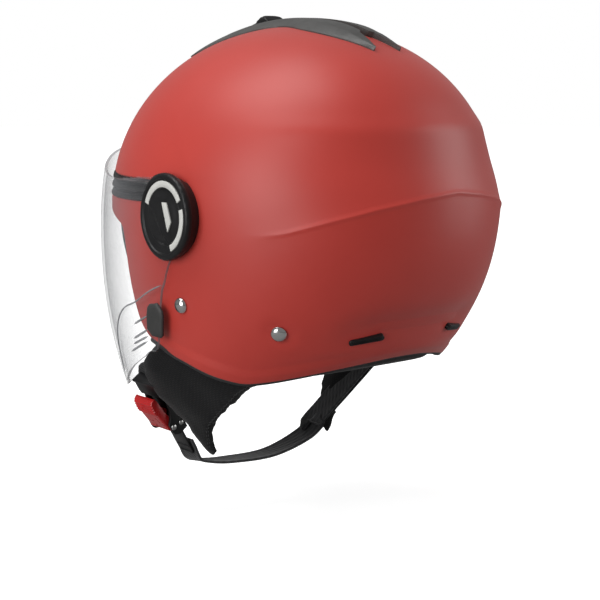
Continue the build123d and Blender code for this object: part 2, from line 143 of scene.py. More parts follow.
def even(points, count, closed=False):
    """The same line with evenly spaced points."""
    pts = list(points) + ([points[0]] if closed else [])
    lengths = [0.0]
    for a, b in zip(pts, pts[1:]):
        lengths.append(lengths[-1] + (b - a).length)
    out = []
    spans = count if closed else count - 1
    k = 0
    for i in range(count):
        want = lengths[-1] * i / spans
        while k < len(pts) - 2 and lengths[k + 1] < want:
            k += 1
        gap = max(lengths[k + 1] - lengths[k], 1e-9)
        out.append(pts[k].lerp(pts[k + 1], min(max((want - lengths[k]) / gap, 0), 1)))
    return out


def make_piece(name, points, faces, material, body, slot, nodes=(), flat=False):
    """A mesh object from millimetre points, with its material, body and the CAD nodes it stands for."""
    mesh = bpy.data.meshes.new(name)
    mesh.from_pydata([Vector(p) * MM for p in points], [], faces)
    bm = bmesh.new()
    bm.from_mesh(mesh)
    bmesh.ops.remove_doubles(bm, verts=bm.verts, dist=1e-7)
    bmesh.ops.recalc_face_normals(bm, faces=bm.faces)
    bm.to_mesh(mesh)
    bm.free()
    piece = bpy.data.objects.new(name, mesh)
    bpy.context.scene.collection.objects.link(piece)
    dress(piece, material, flat)
    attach(piece, body)
    if nodes:
        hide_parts(*nodes)
    return piece


def dress(piece, material, flat=False):
    piece.data.materials.clear()
    piece.data.materials.append(material)
    for face in piece.data.polygons:
        face.use_smooth = not flat
    return piece


def apply_modifiers(piece):
    """The mesh as its modifiers leave it."""
    bpy.context.view_layer.update()
    graph = bpy.context.evaluated_depsgraph_get()
    mesh = bpy.data.meshes.new_from_object(piece.evaluated_get(graph))
    piece.modifiers.clear()
    piece.data = mesh


def crisp(piece, angle=32):
    """Smooth shading that keeps edges sharper than the angle."""
    bm = bmesh.new()
    bm.from_mesh(piece.data)
    for edge in bm.edges:
        edge.smooth = not (edge.is_manifold and edge.calc_face_angle(0) > radians(angle))
    for face in bm.faces:
        face.smooth = True
    bm.to_mesh(piece.data)
    bm.free()
    return piece


def bevelled(piece, width, segments=3, angle=35, levels=0):
    """Rounded edges, then shading."""
    mod = piece.modifiers.new("edges", "BEVEL")
    mod.width = width * MM
    mod.segments = segments
    mod.limit_method = "ANGLE"
    mod.angle_limit = radians(angle)
    mod.harden_normals = False
    if levels:
        piece.modifiers.new("round", "SUBSURF").levels = levels
    apply_modifiers(piece)
    return crisp(piece)


def grid_faces(rows, columns, closed=False):
    faces = []
    for r in range(rows - 1):
        for c in range(columns if closed else columns - 1):
            d = (c + 1) % columns
            faces.append((r * columns + c, r * columns + d, (r + 1) * columns + d, (r + 1) * columns + c))
    return faces


def tube(path, profile, closed_path=False, cap=True, frames=None):
    """A solid swept along a path: profile points are (sideways, outwards) about each path frame."""
    points = []
    for here, side, out in frames or path:
        points += [here + side * a + out * b for a, b in profile]
    rows = len(points) // len(profile)
    faces = grid_faces(rows, len(profile), closed=True)
    if closed_path:
        last = (rows - 1) * len(profile)
        for c in range(len(profile)):
            d = (c + 1) % len(profile)
            faces.append((last + c, last + d, d, c))
    elif cap:
        faces.append(tuple(range(len(profile))))
        faces.append(tuple(range((rows - 1) * len(profile), rows * len(profile))))
    return points, faces


def lathe(profile, steps=96):
    """A turned solid about local Z, from (radius, height) points that start and end on the axis."""
    points = []
    for k in range(steps):
        angle = 2 * pi * k / steps
        points += [Vector((r * cos(angle), r * sin(angle), h)) for r, h in profile]
    n = len(profile)
    faces = []
    for k in range(steps):
        m = (k + 1) % steps
        for i in range(n - 1):
            faces.append((k * n + i, m * n + i, m * n + i + 1, k * n + i + 1))
    return points, faces


def placed(points, matrix):
    return [matrix @ Vector(p) for p in points]


def frame_matrix(origin, x_dir, z_dir):
    z = Vector(z_dir).normalized()
    x = (Vector(x_dir) - z * Vector(x_dir).dot(z)).normalized()
    y = z.cross(x)
    out = Matrix.Identity(4)
    for i in range(3):
        out[i][0], out[i][1], out[i][2], out[i][3] = x[i], y[i], z[i], origin[i]
    return out


# ---------------------------------------------------------------- materials
class Nodes:
    """A short way to write a node material."""

    def __init__(self, name):
        self.material = bpy.data.materials.new(name)
        self.material.use_nodes = True
        self.tree = self.material.node_tree
        self.shader = self.tree.nodes["Principled BSDF"]
        self.place = self.tree.nodes.new("ShaderNodeTexCoord").outputs["Object"]

    def add(self, kind, inputs=None, **settings):
        node = self.tree.nodes.new("ShaderNode" + kind)
        for key, value in settings.items():
            setattr(node, key, value)
        for key, value in (inputs or {}).items():
            self.feed(node, key, value)
        return node

    def feed(self, node, key, value):
        if isinstance(value, bpy.types.NodeSocket):
            self.tree.links.new(value, node.inputs[key])
        else:
            node.inputs[key].default_value = value

    def set(self, **values):
        for key, value in values.items():
            self.feed(self.shader, key.replace("_", " "), value)

    def noise(self, scale, detail=3.0, rough=0.55, place=None):
        node = self.add("TexNoise", {"Vector": place or self.place, "Scale": scale, "Detail": detail,
                                     "Roughness": rough})
        return node.outputs["Fac"]

    def ramp(self, value, low, high, out_low, out_high):
        node = self.add("MapRange", {"Value": value, "From Min": low, "From Max": high, "To Min": out_low,
                                     "To Max": out_high})
        return node.outputs["Result"]

    def blend(self, share, a, b):
        node = self.add("Mix", data_type="RGBA")
        self.feed(node, 0, share)
        self.feed(node, 6, a)
        self.feed(node, 7, b)
        return node.outputs[2]

    def math(self, operation, a, b=0.0):
        node = self.add("Math", operation=operation)
        self.feed(node, 0, a)
        self.feed(node, 1, b)
        return node.outputs[0]

    def stretched(self, scale):
        return self.add("Mapping", {"Vector": self.place, "Scale": scale}).outputs["Vector"]

    def bump(self, height, distance, strength=1.0, normal=None):
        node = self.add("Bump", {"Height": height, "Distance": distance, "Strength": strength})
        if normal:
            self.feed(node, "Normal", normal)
        self.feed(self.shader, "Normal", node.outputs["Normal"])
        return node.outputs["Normal"]


def rgb(r, g, b):
    return (r, g, b, 1.0)


def shell_paint():
    """Satin red: fine orange peel, a dusty bloom on edges that face away, slight unevenness of gloss."""
    n = Nodes("satin_red_paint")
    cloud = n.noise(9.0, 2.0)
    grain = n.noise(2600.0, 2.0)
    colour = n.blend(n.ramp(cloud, 0.3, 0.7, 0, 1), rgb(0.44, 0.032, 0.022), rgb(0.50, 0.040, 0.028))
    n.set(Base_Color=colour, Roughness=n.ramp(grain, 0.3, 0.7, 0.40, 0.50), Specular_IOR_Level=0.5)
    n.set(Sheen_Weight=0.12, Sheen_Roughness=0.45)
    peel = n.bump(n.noise(420.0, 2.0), 0.0002, 0.10)
    n.bump(grain, 0.00006, 0.25, peel)
    return n.material


def plastic(name, dark, light, low, high, grain=1500.0, depth=0.00008, level=0.5):
    """Moulded plastic with a fine texture."""
    n = Nodes(name)
    wear = n.noise(60.0, 4.0)
    colour = n.blend(n.ramp(wear, 0.35, 0.7, 0, 1), rgb(*dark), rgb(*light))
    n.set(Base_Color=colour, Roughness=n.ramp(n.noise(180.0, 3.0), 0.3, 0.7, low, high))
    n.set(Specular_IOR_Level=level)
    n.bump(n.noise(grain, 2.0), depth, 0.5)
    return n.material


def clear_plastic():
    """Clear polycarbonate: almost nothing face on; at a glance a more opaque grey, a painted reflection on
    top of its real gloss.
    """
    n = Nodes("clear_polycarbonate")
    smear = n.noise(14.0, 3.0)
    glance = n.add("LayerWeight", {"Blend": 0.42}).outputs["Facing"]
    n.set(Base_Color=n.blend(smear, rgb(0.30, 0.31, 0.33), rgb(0.36, 0.37, 0.39)), IOR=1.5)
    # alpha rises at glancing angles so the grey base colour shows there: a painted reflection
    n.set(Roughness=n.ramp(smear, 0.3, 0.8, 0.04, 0.10), Alpha=n.ramp(glance, 0.35, 1.0, 0.035, 0.42))
    n.bump(n.noise(22.0, 2.0), 0.0002, 0.05)
    return n.material


def clear_edge():
    """Cut edge of the clear polycarbonate, where light gathers."""
    n = Nodes("clear_polycarbonate_edge")
    smear = n.noise(60.0, 3.0)
    n.set(Base_Color=n.blend(smear, rgb(0.20, 0.21, 0.22), rgb(0.34, 0.35, 0.37)), IOR=1.5)
    n.set(Roughness=n.ramp(smear, 0.3, 0.8, 0.12, 0.22), Alpha=0.72)
    n.bump(n.noise(90.0, 2.0), 0.0002, 0.1)
    return n.material


def smoked_plastic():
    """Tinted polycarbonate of the sun visor."""
    n = Nodes("smoked_polycarbonate")
    shade = n.noise(10.0, 2.0)
    glance = n.add("LayerWeight", {"Blend": 0.4}).outputs["Facing"]
    n.set(Base_Color=n.blend(shade, rgb(0.075, 0.085, 0.10), rgb(0.10, 0.115, 0.135)), IOR=1.5)
    n.set(Roughness=n.ramp(shade, 0.3, 0.8, 0.05, 0.12), Alpha=n.ramp(glance, 0.0, 1.0, 0.55, 0.92))
    n.bump(n.noise(30.0, 2.0), 0.0002, 0.04)
    return n.material


def fabric(name, dark, light, thread=1.1, depth=0.0003, sheen=0.35):
    """Knitted lining: rows of small stitches, with lint and a soft sheen."""
    n = Nodes(name)
    warp = n.add("TexWave", {"Vector": n.place, "Scale": 1000.0 / thread / 6.28, "Distortion": 0.6,
                             "Detail": 1.0, "Detail Scale": 2.0}, wave_type="BANDS", bands_direction="Z")
    weft = n.add("TexWave", {"Vector": n.place, "Scale": 1000.0 / thread / 6.28, "Distortion": 0.6,
                             "Detail": 1.0, "Detail Scale": 2.0}, wave_type="BANDS",
                 bands_direction="DIAGONAL")
    knit = n.math("MULTIPLY", warp.outputs["Fac"], weft.outputs["Fac"])
    lint = n.noise(75.0, 4.0)
    colour = n.blend(n.math("MULTIPLY", knit, n.ramp(lint, 0.2, 0.8, 0.5, 1.3)), rgb(*dark), rgb(*light))
    n.set(Base_Color=colour, Roughness=n.ramp(lint, 0.3, 0.7, 0.8, 0.95), Sheen_Weight=sheen,
          Sheen_Roughness=0.4, Specular_IOR_Level=0.25)
    soft = n.bump(n.noise(45.0, 3.0), 0.0008, 0.25)
    n.bump(knit, depth, 0.6, soft)
    return n.material


def webbing():
    """Polyester strap: a tight diagonal rib."""
    n = Nodes("strap_webbing")
    rib = n.add("TexWave", {"Vector": n.place, "Scale": 150.0, "Distortion": 0.3}, wave_type="BANDS",
                bands_direction="DIAGONAL")
    cross = n.add("TexWave", {"Vector": n.place, "Scale": 110.0, "Distortion": 0.3}, wave_type="BANDS",
                  bands_direction="Y")
    weave = n.math("MAXIMUM", rib.outputs["Fac"], n.math("MULTIPLY", cross.outputs["Fac"], 0.7))
    n.set(Base_Color=n.blend(weave, rgb(0.006, 0.006, 0.007), rgb(0.026, 0.026, 0.028)),
          Roughness=n.ramp(n.noise(90.0), 0.3, 0.7, 0.6, 0.75), Sheen_Weight=0.2)
    n.bump(weave, 0.0003, 0.7)
    return n.material


def metal(name, colour, low, high, scratches=(30.0, 900.0, 900.0), depth=0.00002):
    n = Nodes(name)
    mark = n.noise(1.0, 4.0, 0.6, n.stretched(scratches))
    n.set(Base_Color=n.blend(n.noise(200.0, 2.0), rgb(*colour), rgb(*[0.82 * c for c in colour])),
          Metallic=1.0,
          Roughness=n.ramp(mark, 0.3, 0.7, low, high))
    n.bump(mark, depth, 0.4)
    return n.material


def foam():
    """Expanded polystyrene beads, dyed dark."""
    n = Nodes("foam_beads")
    bead = n.add("TexVoronoi", {"Vector": n.place, "Scale": 330.0})
    n.set(Base_Color=n.blend(bead.outputs["Distance"], rgb(0.035, 0.035, 0.037), rgb(0.012, 0.012, 0.012)),
          Roughness=n.ramp(n.noise(100.0), 0.3, 0.7, 0.75, 0.9))
    n.bump(bead.outputs["Distance"], 0.0004, 0.5)
    return n.material


def red_plastic():
    """Glossy translucent-looking red of the buckle lever."""
    n = Nodes("buckle_red")
    cloud = n.noise(70.0, 3.0)
    n.set(Base_Color=n.blend(n.ramp(cloud, 0.3, 0.7, 0, 1), rgb(0.42, 0.008, 0.010), rgb(0.56, 0.016, 0.016)),
          Roughness=n.ramp(n.noise(220.0), 0.3, 0.7, 0.24, 0.36), Coat_Weight=0.15)
    n.bump(n.noise(700.0, 2.0), 0.00006, 0.3)
    return n.material


RED = shell_paint()
BLACK = plastic("black_satin_plastic", (0.006, 0.006, 0.0065), (0.011, 0.011, 0.0115), 0.34, 0.46, level=0.30)
COVER = plastic("cover_black_plastic", (0.060, 0.059, 0.057), (0.080, 0.079, 0.076), 0.34, 0.46)
RUBBER = plastic("black_rubber", (0.010, 0.010, 0.010), (0.018, 0.018, 0.018), 0.45, 0.60, 900.0, 0.0001)
TAB = plastic("grey_rubber_tab", (0.030, 0.030, 0.029), (0.040, 0.040, 0.039), 0.5, 0.65, 900.0, 0.0001)
SILVER = plastic("silver_paint", (0.56, 0.56, 0.53), (0.62, 0.62, 0.59), 0.34, 0.46, 2200.0, 0.00003)
CLEAR = clear_plastic()
CLEAR_EDGE = clear_edge()
SMOKED = smoked_plastic()
LINING = fabric("black_lining", (0.0055, 0.0055, 0.006), (0.013, 0.013, 0.014), thread=0.7, depth=0.0002,
                sheen=0.12)
PADDING = fabric("padding_mesh", (0.006, 0.006, 0.0065), (0.028, 0.028, 0.030), thread=1.8, depth=0.0005)
WEBBING = webbing()
CHROME = metal("chrome", (0.62, 0.62, 0.61), 0.08, 0.16)
STEEL = metal("zinc_steel", (0.50, 0.50, 0.49), 0.25, 0.42)
DARK_STEEL = metal("blackened_steel", (0.055, 0.055, 0.056), 0.30, 0.45)
FOAM = foam()
BUCKLE_RED = red_plastic()


# ---------------------------------------------------------------- the shell's surface
def extents(rise, inset=0.0):
    """Half width, front reach and rear reach at a height above the pivot."""
    if rise > 0:
        share = min(rise / (CROWN - inset), 1.0)
        width = (HALF_WIDTH - inset) * sqrt(max(1 - share ** 2.1, 0))
        front = (FRONT - inset) * sqrt(max(1 - share ** 2, 0))
        rear = (REAR - inset) * max(1 - share ** 2.3, 0) ** 0.4545
    else:
        drop = -rise / 100
        width = HALF_WIDTH * (1 - 0.096 * drop ** 1.9) - inset
        front = FRONT * (1 - 0.083 * drop ** 2) - inset
        rear = REAR * (1 - 0.356 * drop ** 2.15) - inset
    return width, front, rear


def round_point(turn, width, front, rear):
    """x and y of a rounded section; turn is 0 straight ahead, pi/2 at the wearer's left, pi behind."""
    s, c = sin(turn), cos(turn)
    x = width * (1 if s > 0 else -1) * abs(s) ** (2 / ROUNDNESS)
    y = (-front if c > 0 else rear) * abs(c) ** (2 / ROUNDNESS)
    return x, y


def plain_shell(turn, rise, inset=0.0):
    x, y = round_point(turn, *extents(rise, inset))
    return Vector((x, y, PIVOT_Z + rise))


def turn_at(y, rise, inset=0.0):
    """The turn whose point at this height has this y."""
    _, front, rear = extents(rise, inset)
    if y < 0:
        return acos(min((-y / front), 1.0) ** (ROUNDNESS / 2))
    return acos(-min((y / rear), 1.0) ** (ROUNDNESS / 2))


def shell_normal(turn, rise, inset=0.0):
    a = plain_shell(turn + 0.004, rise, inset) - plain_shell(turn - 0.004, rise, inset)
    low, high = rise - 0.4, min(rise + 0.4, CROWN - inset - 0.01)
    b = plain_shell(turn, high, inset) - plain_shell(turn, low, inset)
    out = a.cross(b)
    if out.length < 1e-9:
        return Vector((0, 0, 1))
    out.normalize()
    away = plain_shell(turn, rise, inset) - Vector((0, 0, PIVOT_Z))
    return out if out.dot(away) > 0 else -out


# Side-view lines, as (y, rise)
LIP = [(-137, 41.5), (-130, 38.5), (-108, 29), (-86, 24), (-60, 23), (-26, 23), (40, 23)]
SEAL_LOW = [(-137, 20), (-130, 17), (-108, 10), (-90, 8), (-26, 8), (40, 8)]
BROW_EDGE = [(-137, 11), (-120, 6.5), (-104, 1.5), (-92, -1.5), (-83, -3.5)]
CHEEK = [(-83, -3.5), (-71, -6.5), (-61, -10), (-56.5, -20), (-53.5, -40), (-49.5, -58), (-43.5, -74),
         (-34, -83.2), (-24, -86.8)]
RIM = [(-24, -86.8), (-10.7, -92), (3.7, -96.2), (21.7, -102.4), (34, -105.8), (43.2, -107.5), (55.9, -105.8),
       (69.7, -102.5), (81.3, -99), (91.2, -95.5), (98, -92.3), (104, -89.3), (120, -86)]


def fine(line):
    return [(p.x, p.y) for p in curve_points([(y, r, 0) for y, r in line], 10)]


LIP_FINE, SEAL_FINE, BROW_FINE, RIM_FINE = fine(LIP), fine(SEAL_LOW), fine(BROW_EDGE), fine(RIM)
RIVETS = [(5, -58.5), (72, -73)]
RIDGE = [(0.80, -13.0), (0.60, -7.0), (0.45, 1.0), (0.30, 8.0), (0.14, 13.5), (0.0, 16.5)]


def line_rise(line, turn):
    """Height at which a side-view line crosses a given turn."""
    rise = along(line, 0)
    for _ in range(5):
        y = plain_shell(turn, rise).y
        rise = mix(rise, along(line, y), 0.8)
    return rise


def relief(turn, rise, y, edge_gap):
    """How far the outer surface stands off the plain shape: ridge, creases, dimples and rolled rim."""
    lift = 0.0
    side = abs(turn) if abs(turn) <= pi else 2 * pi - abs(turn)
    behind = (pi - side) / (pi / 2)
    # rear ridge
    if behind < 0.95:
        line = along(sorted((b, r) for b, r in RIDGE), behind)
        strength = 3.0 * (1 - smooth(0.30, 0.85, behind))
        gap = rise - line
        lift += strength * (exp(-gap / 11) if gap > 0 else exp(gap / 26)) 
        lift += 0.45 * bump(gap, 1.7) * (1 - smooth(0.45, 0.75, behind))
        # flatter panel between the ridge and the soft crease above it
        crease = 57.0
        lift -= 1.7 * (1 - smooth(0.3, 0.8, behind)) * bump((rise - 36) / 15, 1)
        lift += 0.9 * (1 - smooth(0.45, 0.85, behind)) * bump((rise - crease) / 6, 1)
        # hollow of the nape
        lift -= 3.2 * (1 - smooth(0.18, 0.42, behind)) * bump((rise + 71) / 10, 1)
        lift += 1.2 * (1 - smooth(0.25, 0.5, behind)) * bump((rise + 86) / 6, 1)
    # faint crease rising from the pivot
    if 20 < rise < 75:
        centre = mix(14, -8, (rise - 28) / 25)
        fade = smooth(78, 50, rise) * smooth(20, 30, rise) * smooth(60, 20, y)
        lift += 0.45 * smooth(-4, 4, y - centre) * fade
    # dimples under the strap rivets
    for rivet_y, rivet_rise in RIVETS:
        gap = sqrt((y - rivet_y) ** 2 + (rise - rivet_rise) ** 2)
        lift -= 1.0 * (1 - smooth(5.2, 10.5, gap))
    # rolled rim
    if y > -22 and rise < -60:
        lift += 0.9 * (1 - smooth(6.2, 8.2, edge_gap)) * smooth(-22, -5, y)
    return lift


def seal_depth(turn, rise, y):
    """Depth of the groove that holds the brow seal."""
    if y > -18:
        return 0.0
    low, high = line_rise(SEAL_FINE, turn), line_rise(LIP_FINE, turn)
    inside = smooth(low - 0.5, low + 0.5, rise) * (1 - smooth(high - 0.7, high + 0.7, rise))
    return 2.6 * inside * (1 - smooth(-27, -19, y))


def boundary(count):
    """Half of the shell's edge, from the middle of the nape to the middle of the brow, as (turn, rise)."""
    dots = []
    for k in range(90):
        turn = pi - (pi / 2) * k / 90
        rise = line_rise(RIM_FINE, turn)
        if plain_shell(turn, rise).y < 12:
            break
        dots.append((turn, rise))
    for y, rise in reversed([p for p in RIM_FINE if p[0] < 9]):
        dots.append((turn_at(y, rise), rise))
    for y, rise in [(p.x, p.y) for p in curve_points([(y, r, 0) for y, r in reversed(CHEEK)], 10)][1:]:
        dots.append((turn_at(y, rise), rise))
    first = dots[-1][0]
    for k in range(1, 61):
        turn = first * (1 - k / 60)
        dots.append((turn, line_rise(BROW_FINE, turn)))
    lifted = [plain_shell(t, r) for t, r in dots]
    # even spacing along the edge
    lengths = [0.0]
    for a, b in zip(lifted, lifted[1:]):
        lengths.append(lengths[-1] + (b - a).length)
    out = []
    k = 0
    for i in range(count):
        want = lengths[-1] * i / (count - 1)
        while k < len(dots) - 2 and lengths[k + 1] < want:
            k += 1
        t = (want - lengths[k]) / max(lengths[k + 1] - lengths[k], 1e-9)
        out.append((mix(dots[k][0], dots[k + 1][0], t), mix(dots[k][1], dots[k + 1][1], t)))
    return out


def level_of(rise):
    """A smooth measure of height that keeps going evenly over the crown."""
    return rise / CROWN if rise < 0 else asin(min(rise / CROWN, 1))


def rise_of(level):
    return level * CROWN if level < 0 else CROWN * sin(min(level, pi / 2))


def build_shell():
    half = boundary(170)
    loop = half + [(-t, r) for t, r in reversed(half[1:-1])]
    count = len(loop)
    columns = []
    for turn, edge_rise in loop:
        low = line_rise(SEAL_FINE, turn) if abs(turn) < 2.2 else 8.0
        high = line_rise(LIP_FINE, turn) if abs(turn) < 2.2 else 23.0
        side = min(abs(turn), 2 * pi - abs(turn))
        ridge = along(sorted((b, r) for b, r in RIDGE), (pi - side) / (pi / 2))
        low = mix(low, ridge - 2.5, smooth(1.72, 2.15, side))
        high = mix(high, ridge + 2.5, smooth(1.72, 2.15, side))
        start = level_of(edge_rise)
        a, b = level_of(low), level_of(high)
        levels = []
        for k in range(30):
            t = k / 30
            levels.append(mix(start, a - 0.006, t ** 1.25))
        for k in range(5):
            levels.append(mix(a - 0.006, a + 0.006, k / 5))
        for k in range(8):
            levels.append(mix(a + 0.006, b - 0.008, k / 8))
        for k in range(6):
            levels.append(mix(b - 0.008, b + 0.008, k / 6))
        for k in range(52):
            levels.append(mix(b + 0.008, 1.545, k / 51))
        columns.append((turn, edge_rise, levels))
    rows = len(columns[0][2])
    outer = []
    edge_points = [plain_shell(t, r) for t, r in loop]
    for turn, edge_rise, levels in columns:
        column = []
        for level in levels:
            rise = rise_of(level)
            point = plain_shell(turn, rise)
            gap = rise - edge_rise
            lift = relief(turn, rise, point.y, gap) - seal_depth(turn, rise, point.y)
            column.append(point + shell_normal(turn, rise) * lift)
        outer.append(column)
    # rounded edge from the outer to the inner face
    radius = WALL / 2
    points = []
    grid = []
    for index, (turn, edge_rise, levels) in enumerate(columns):
        before, after = edge_points[index - 1], edge_points[(index + 1) % count]
        normal = shell_normal(turn, edge_rise)
        out_dir = (after - before).normalized().cross(normal).normalized()
        up = outer[index][3] - outer[index][0]
        if out_dir.dot(up) > 0:
            out_dir = -out_dir
        base = outer[index][0]
        line = [base + out_dir * (radius * sin(a)) - normal * (radius - radius * cos(a)) - out_dir * 0
                for a in (pi * k / 8 for k in range(8, 0, -1))]
        inner = []
        for k in range(20, 0, -1):
            level = mix(levels[0], 1.545, (k / 20) ** 1.3)
            inner.append(plain_shell(turn, rise_of(level) * (CROWN - WALL) / CROWN, WALL)
                         if rise_of(level) > 0 else plain_shell(turn, rise_of(level), WALL))
        grid.append(inner + line + outer[index])
    size = len(grid[0])
    for column in grid:
        points += column
    faces = []
    for c in range(count):
        d = (c + 1) % count
        for r in range(size - 1):
            faces.append((c * size + r, d * size + r, d * size + r + 1, c * size + r + 1))
    for row, z in ((0, CROWN - WALL), (size - 1, CROWN)):
        points.append(Vector((0, 0, PIVOT_Z + z)))
        faces += [(len(points) - 1, c * size + row, ((c + 1) % count) * size + row) for c in range(count)]
    shell = make_piece("helmet_shell", points, faces, RED, "root", "shell_paint", ["outer_shell"])
    return shell


def normal_frame(y, rise, side=1):
    """A matrix on the shell at a side-view place, looking outwards, with x level and to the rear."""
    turn = turn_at(y, rise) * side
    rearward = plain_shell(turn + 0.01 * side, rise) - plain_shell(turn, rise)
    return frame_matrix(plain_shell(turn, rise), rearward, shell_normal(turn, rise))


shell = build_shell()


def joined(*shapes):
    points, faces = [], []
    for some_points, some_faces in shapes:
        base = len(points)
        points += list(some_points)
        faces += [tuple(base + i for i in face) for face in some_faces]
    return points, faces


def flipped(points):
    return [Vector((-p.x, p.y, p.z)) for p in points]


def rounded_slot(length, width, depth_low, depth_high, steps=10):
    """A stadium-shaped bar along local x."""
    ring = []
    for end in (1, -1):
        for k in range(steps + 1):
            a = (-pi / 2 + pi * k / steps) if end > 0 else (pi / 2 + pi * k / steps)
            ring.append((end * (length / 2 - width / 2) + width / 2 * cos(a), width / 2 * sin(a)))
    n = len(ring)
    points = [Vector((x, y, z)) for z in (depth_low, depth_high) for x, y in ring]
    faces = [(i, (i + 1) % n, n + (i + 1) % n, n + i) for i in range(n)]
    faces += [tuple(range(n)), tuple(range(n, 2 * n))]
    return points, faces


def block(half_x, half_y, height, ribs=0, depth=0.0, power=5.0, columns=48, rows=40):
    """A rounded pad-like button: flat below, crowned above, with grip ribs across its top."""
    points = []
    for r in range(rows + 1):
        v = -1 + 2 * r / rows
        v = sin(v * pi / 2)
        for c in range(columns + 1):
            u = sin((-1 + 2 * c / columns) * pi / 2)
            edge = max(1 - abs(u) ** power, 0) ** (1 / power) * max(1 - abs(v) ** power, 0) ** (1 / power)
            top = height * edge
            if ribs and abs(u) < 0.86:
                top -= depth * edge * (0.5 + 0.5 * cos(v * pi * ribs)) * smooth(0.93, 0.8, abs(v))
            points.append(Vector((u * half_x, v * half_y, top)))
    n = columns + 1
    faces = grid_faces(rows + 1, n)
    rim = [c for c in range(n)] + [r * n + columns for r in range(1, rows + 1)]
    rim += [rows * n + c for c in range(columns - 1, -1, -1)] + [r * n for r in range(rows - 1, 0, -1)]
    base = len(points)
    points += [Vector((points[i].x, points[i].y, -0.6)) for i in rim]
    m = len(rim)
    faces += [(rim[k], rim[(k + 1) % m], base + (k + 1) % m, base + k) for k in range(m)]
    faces.append(tuple(base + k for k in range(m)))
    return points, faces


# ---------------------------------------------------------------- exhaust slots and grilles
GRILLE_SEAT = (103, -79)
grille_shapes = []
for side in (1, -1):
    seat = normal_frame(*GRILLE_SEAT, side) @ Matrix.Rotation(radians(8 * side), 4, "Z")
    frame_ring = rounded_slot(25.0, 4.4, -3.0, 0.4)
    grille_shapes.append((placed(frame_ring[0], seat), frame_ring[1]))
    for k in (-1, 0, 1):
        bar = rounded_slot(22 - 2.0 * abs(k), 0.6, 0.3, 0.75, 6)
        grille_shapes.append(([seat @ Vector((p.x, p.y + 1.1 * k, p.z)) for p in bar[0]], bar[1]))
grilles = make_piece("exhaust_vents", *joined(*grille_shapes), BLACK, "root", "black_plastic",
                     ["exhaust_grilles"])
bevelled(grilles, 0.2, 2)

# ---------------------------------------------------------------- rubber edging under the rim
half_edge = [(t, r) for t, r in boundary(260) if plain_shell(t, r).y > -25.5 or r < -80]
half_edge = [(t, r) for t, r in half_edge if r < -84]
edge_line = [(t, r) for t, r in reversed(half_edge)]
edge_line += [(-t + 2 * pi, r) for t, r in half_edge[1:]]
edge_frames = []
for index, (turn, rise) in enumerate(edge_line):
    a, b = edge_line[max(index - 1, 0)], edge_line[min(index + 1, len(edge_line) - 1)]
    along_edge = (plain_shell(*b) - plain_shell(*a)).normalized()
    normal = shell_normal(turn, rise)
    down = along_edge.cross(normal).normalized()
    if down.z > 0:
        down = -down
    edge_frames.append((plain_shell(turn, rise) - normal * (WALL / 2), normal, down))
bead = []
for k in range(16):
    a = 2 * pi * k / 16
    s, c = sin(a), cos(a)
    bead.append((2.35 * (1 if c > 0 else -1) * abs(c) ** 0.7,
                 1.5 + 1.9 * (1 if s > 0 else -1) * abs(s) ** 0.7))
make_piece("rim_edging", *tube(None, bead, frames=edge_frames), RUBBER, "root", "black_rubber",
                  ["rim_trim"])

# ---------------------------------------------------------------- brow seal with three ribs
SEAL_END = turn_at(-24.5, 15)
seal_points = []
SEAL_ROWS, SEAL_COLUMNS = 34, 180


def seal_profile(v):
    """Height of the seal's face across its width: three lips with hollows between them."""
    lips = max(bump(v - 0.10, 0.085), bump(v - 0.44, 0.10), bump(v - 0.78, 0.11))
    return -2.0 + 2.7 * lips


for c in range(SEAL_COLUMNS + 1):
    turn = -SEAL_END + 2 * SEAL_END * c / SEAL_COLUMNS
    low, high = line_rise(SEAL_FINE, turn) - 0.4, line_rise(LIP_FINE, turn) + 0.3
    for r in range(SEAL_ROWS + 1):
        v = r / SEAL_ROWS
        rise = mix(low, high, v)
        ends = smooth(SEAL_END, SEAL_END - 0.03, abs(turn))
        depth = mix(-2.5, seal_profile(v), ends)
        seal_points.append(plain_shell(turn, rise) + shell_normal(turn, rise) * depth)
seal = make_piece("brow_seal", seal_points, grid_faces(SEAL_COLUMNS + 1, SEAL_ROWS + 1), RUBBER, "root",
                  "black_rubber", ["brow_gasket"])
thick = seal.modifiers.new("thick", "SOLIDIFY")
thick.thickness = 0.9 * MM
thick.offset = -1
apply_modifiers(seal)

# ---------------------------------------------------------------- clear visor
VISOR_THICK = 2.0
VISOR_ROUND = 2 / ROUNDNESS


def visor_size(rise):
    if rise < -15:
        share = 1 - 0.109 * ((-15 - rise) / 106) ** 2.25
        return 123.6 * share, 152.0 * share
    share = 1 - 0.085 * ((rise + 15) / 58) ** 2
    return 123.6 * (1 - (1 - share) * 0.12), 152.0 * share


def visor_point(turn, rise):
    width, front = visor_size(rise)
    side = 1 if turn >= 0 else -1
    turn = abs(turn)
    if turn <= pi / 2:
        return Vector((side * width * sin(turn) ** VISOR_ROUND, -front * cos(turn) ** VISOR_ROUND,
                       PIVOT_Z + rise))
    y = (turn - pi / 2) * 140
    return Vector((side * width * (1 - (y / 500) ** ROUNDNESS) ** (1 / ROUNDNESS), y, PIVOT_Z + rise))


def visor_turn(y, rise):
    front = visor_size(rise)[1]
    if y < 0:
        return acos(min(-y / front, 1.0) ** (ROUNDNESS / 2))
    return pi / 2 + y / 140


def visor_normal(turn, rise):
    a = visor_point(turn + 0.003, rise) - visor_point(turn - 0.003, rise)
    b = visor_point(turn, rise + 0.4) - visor_point(turn, rise - 0.4)
    out = a.cross(b).normalized()
    away = visor_point(turn, rise)
    away.z = 0
    return out if out.dot(away) > 0 else -out


def visor_rise(line, turn):
    rise = -40.0
    for _ in range(8):
        rise = mix(rise, along(line, visor_point(turn, rise).y), 0.85)
    return rise


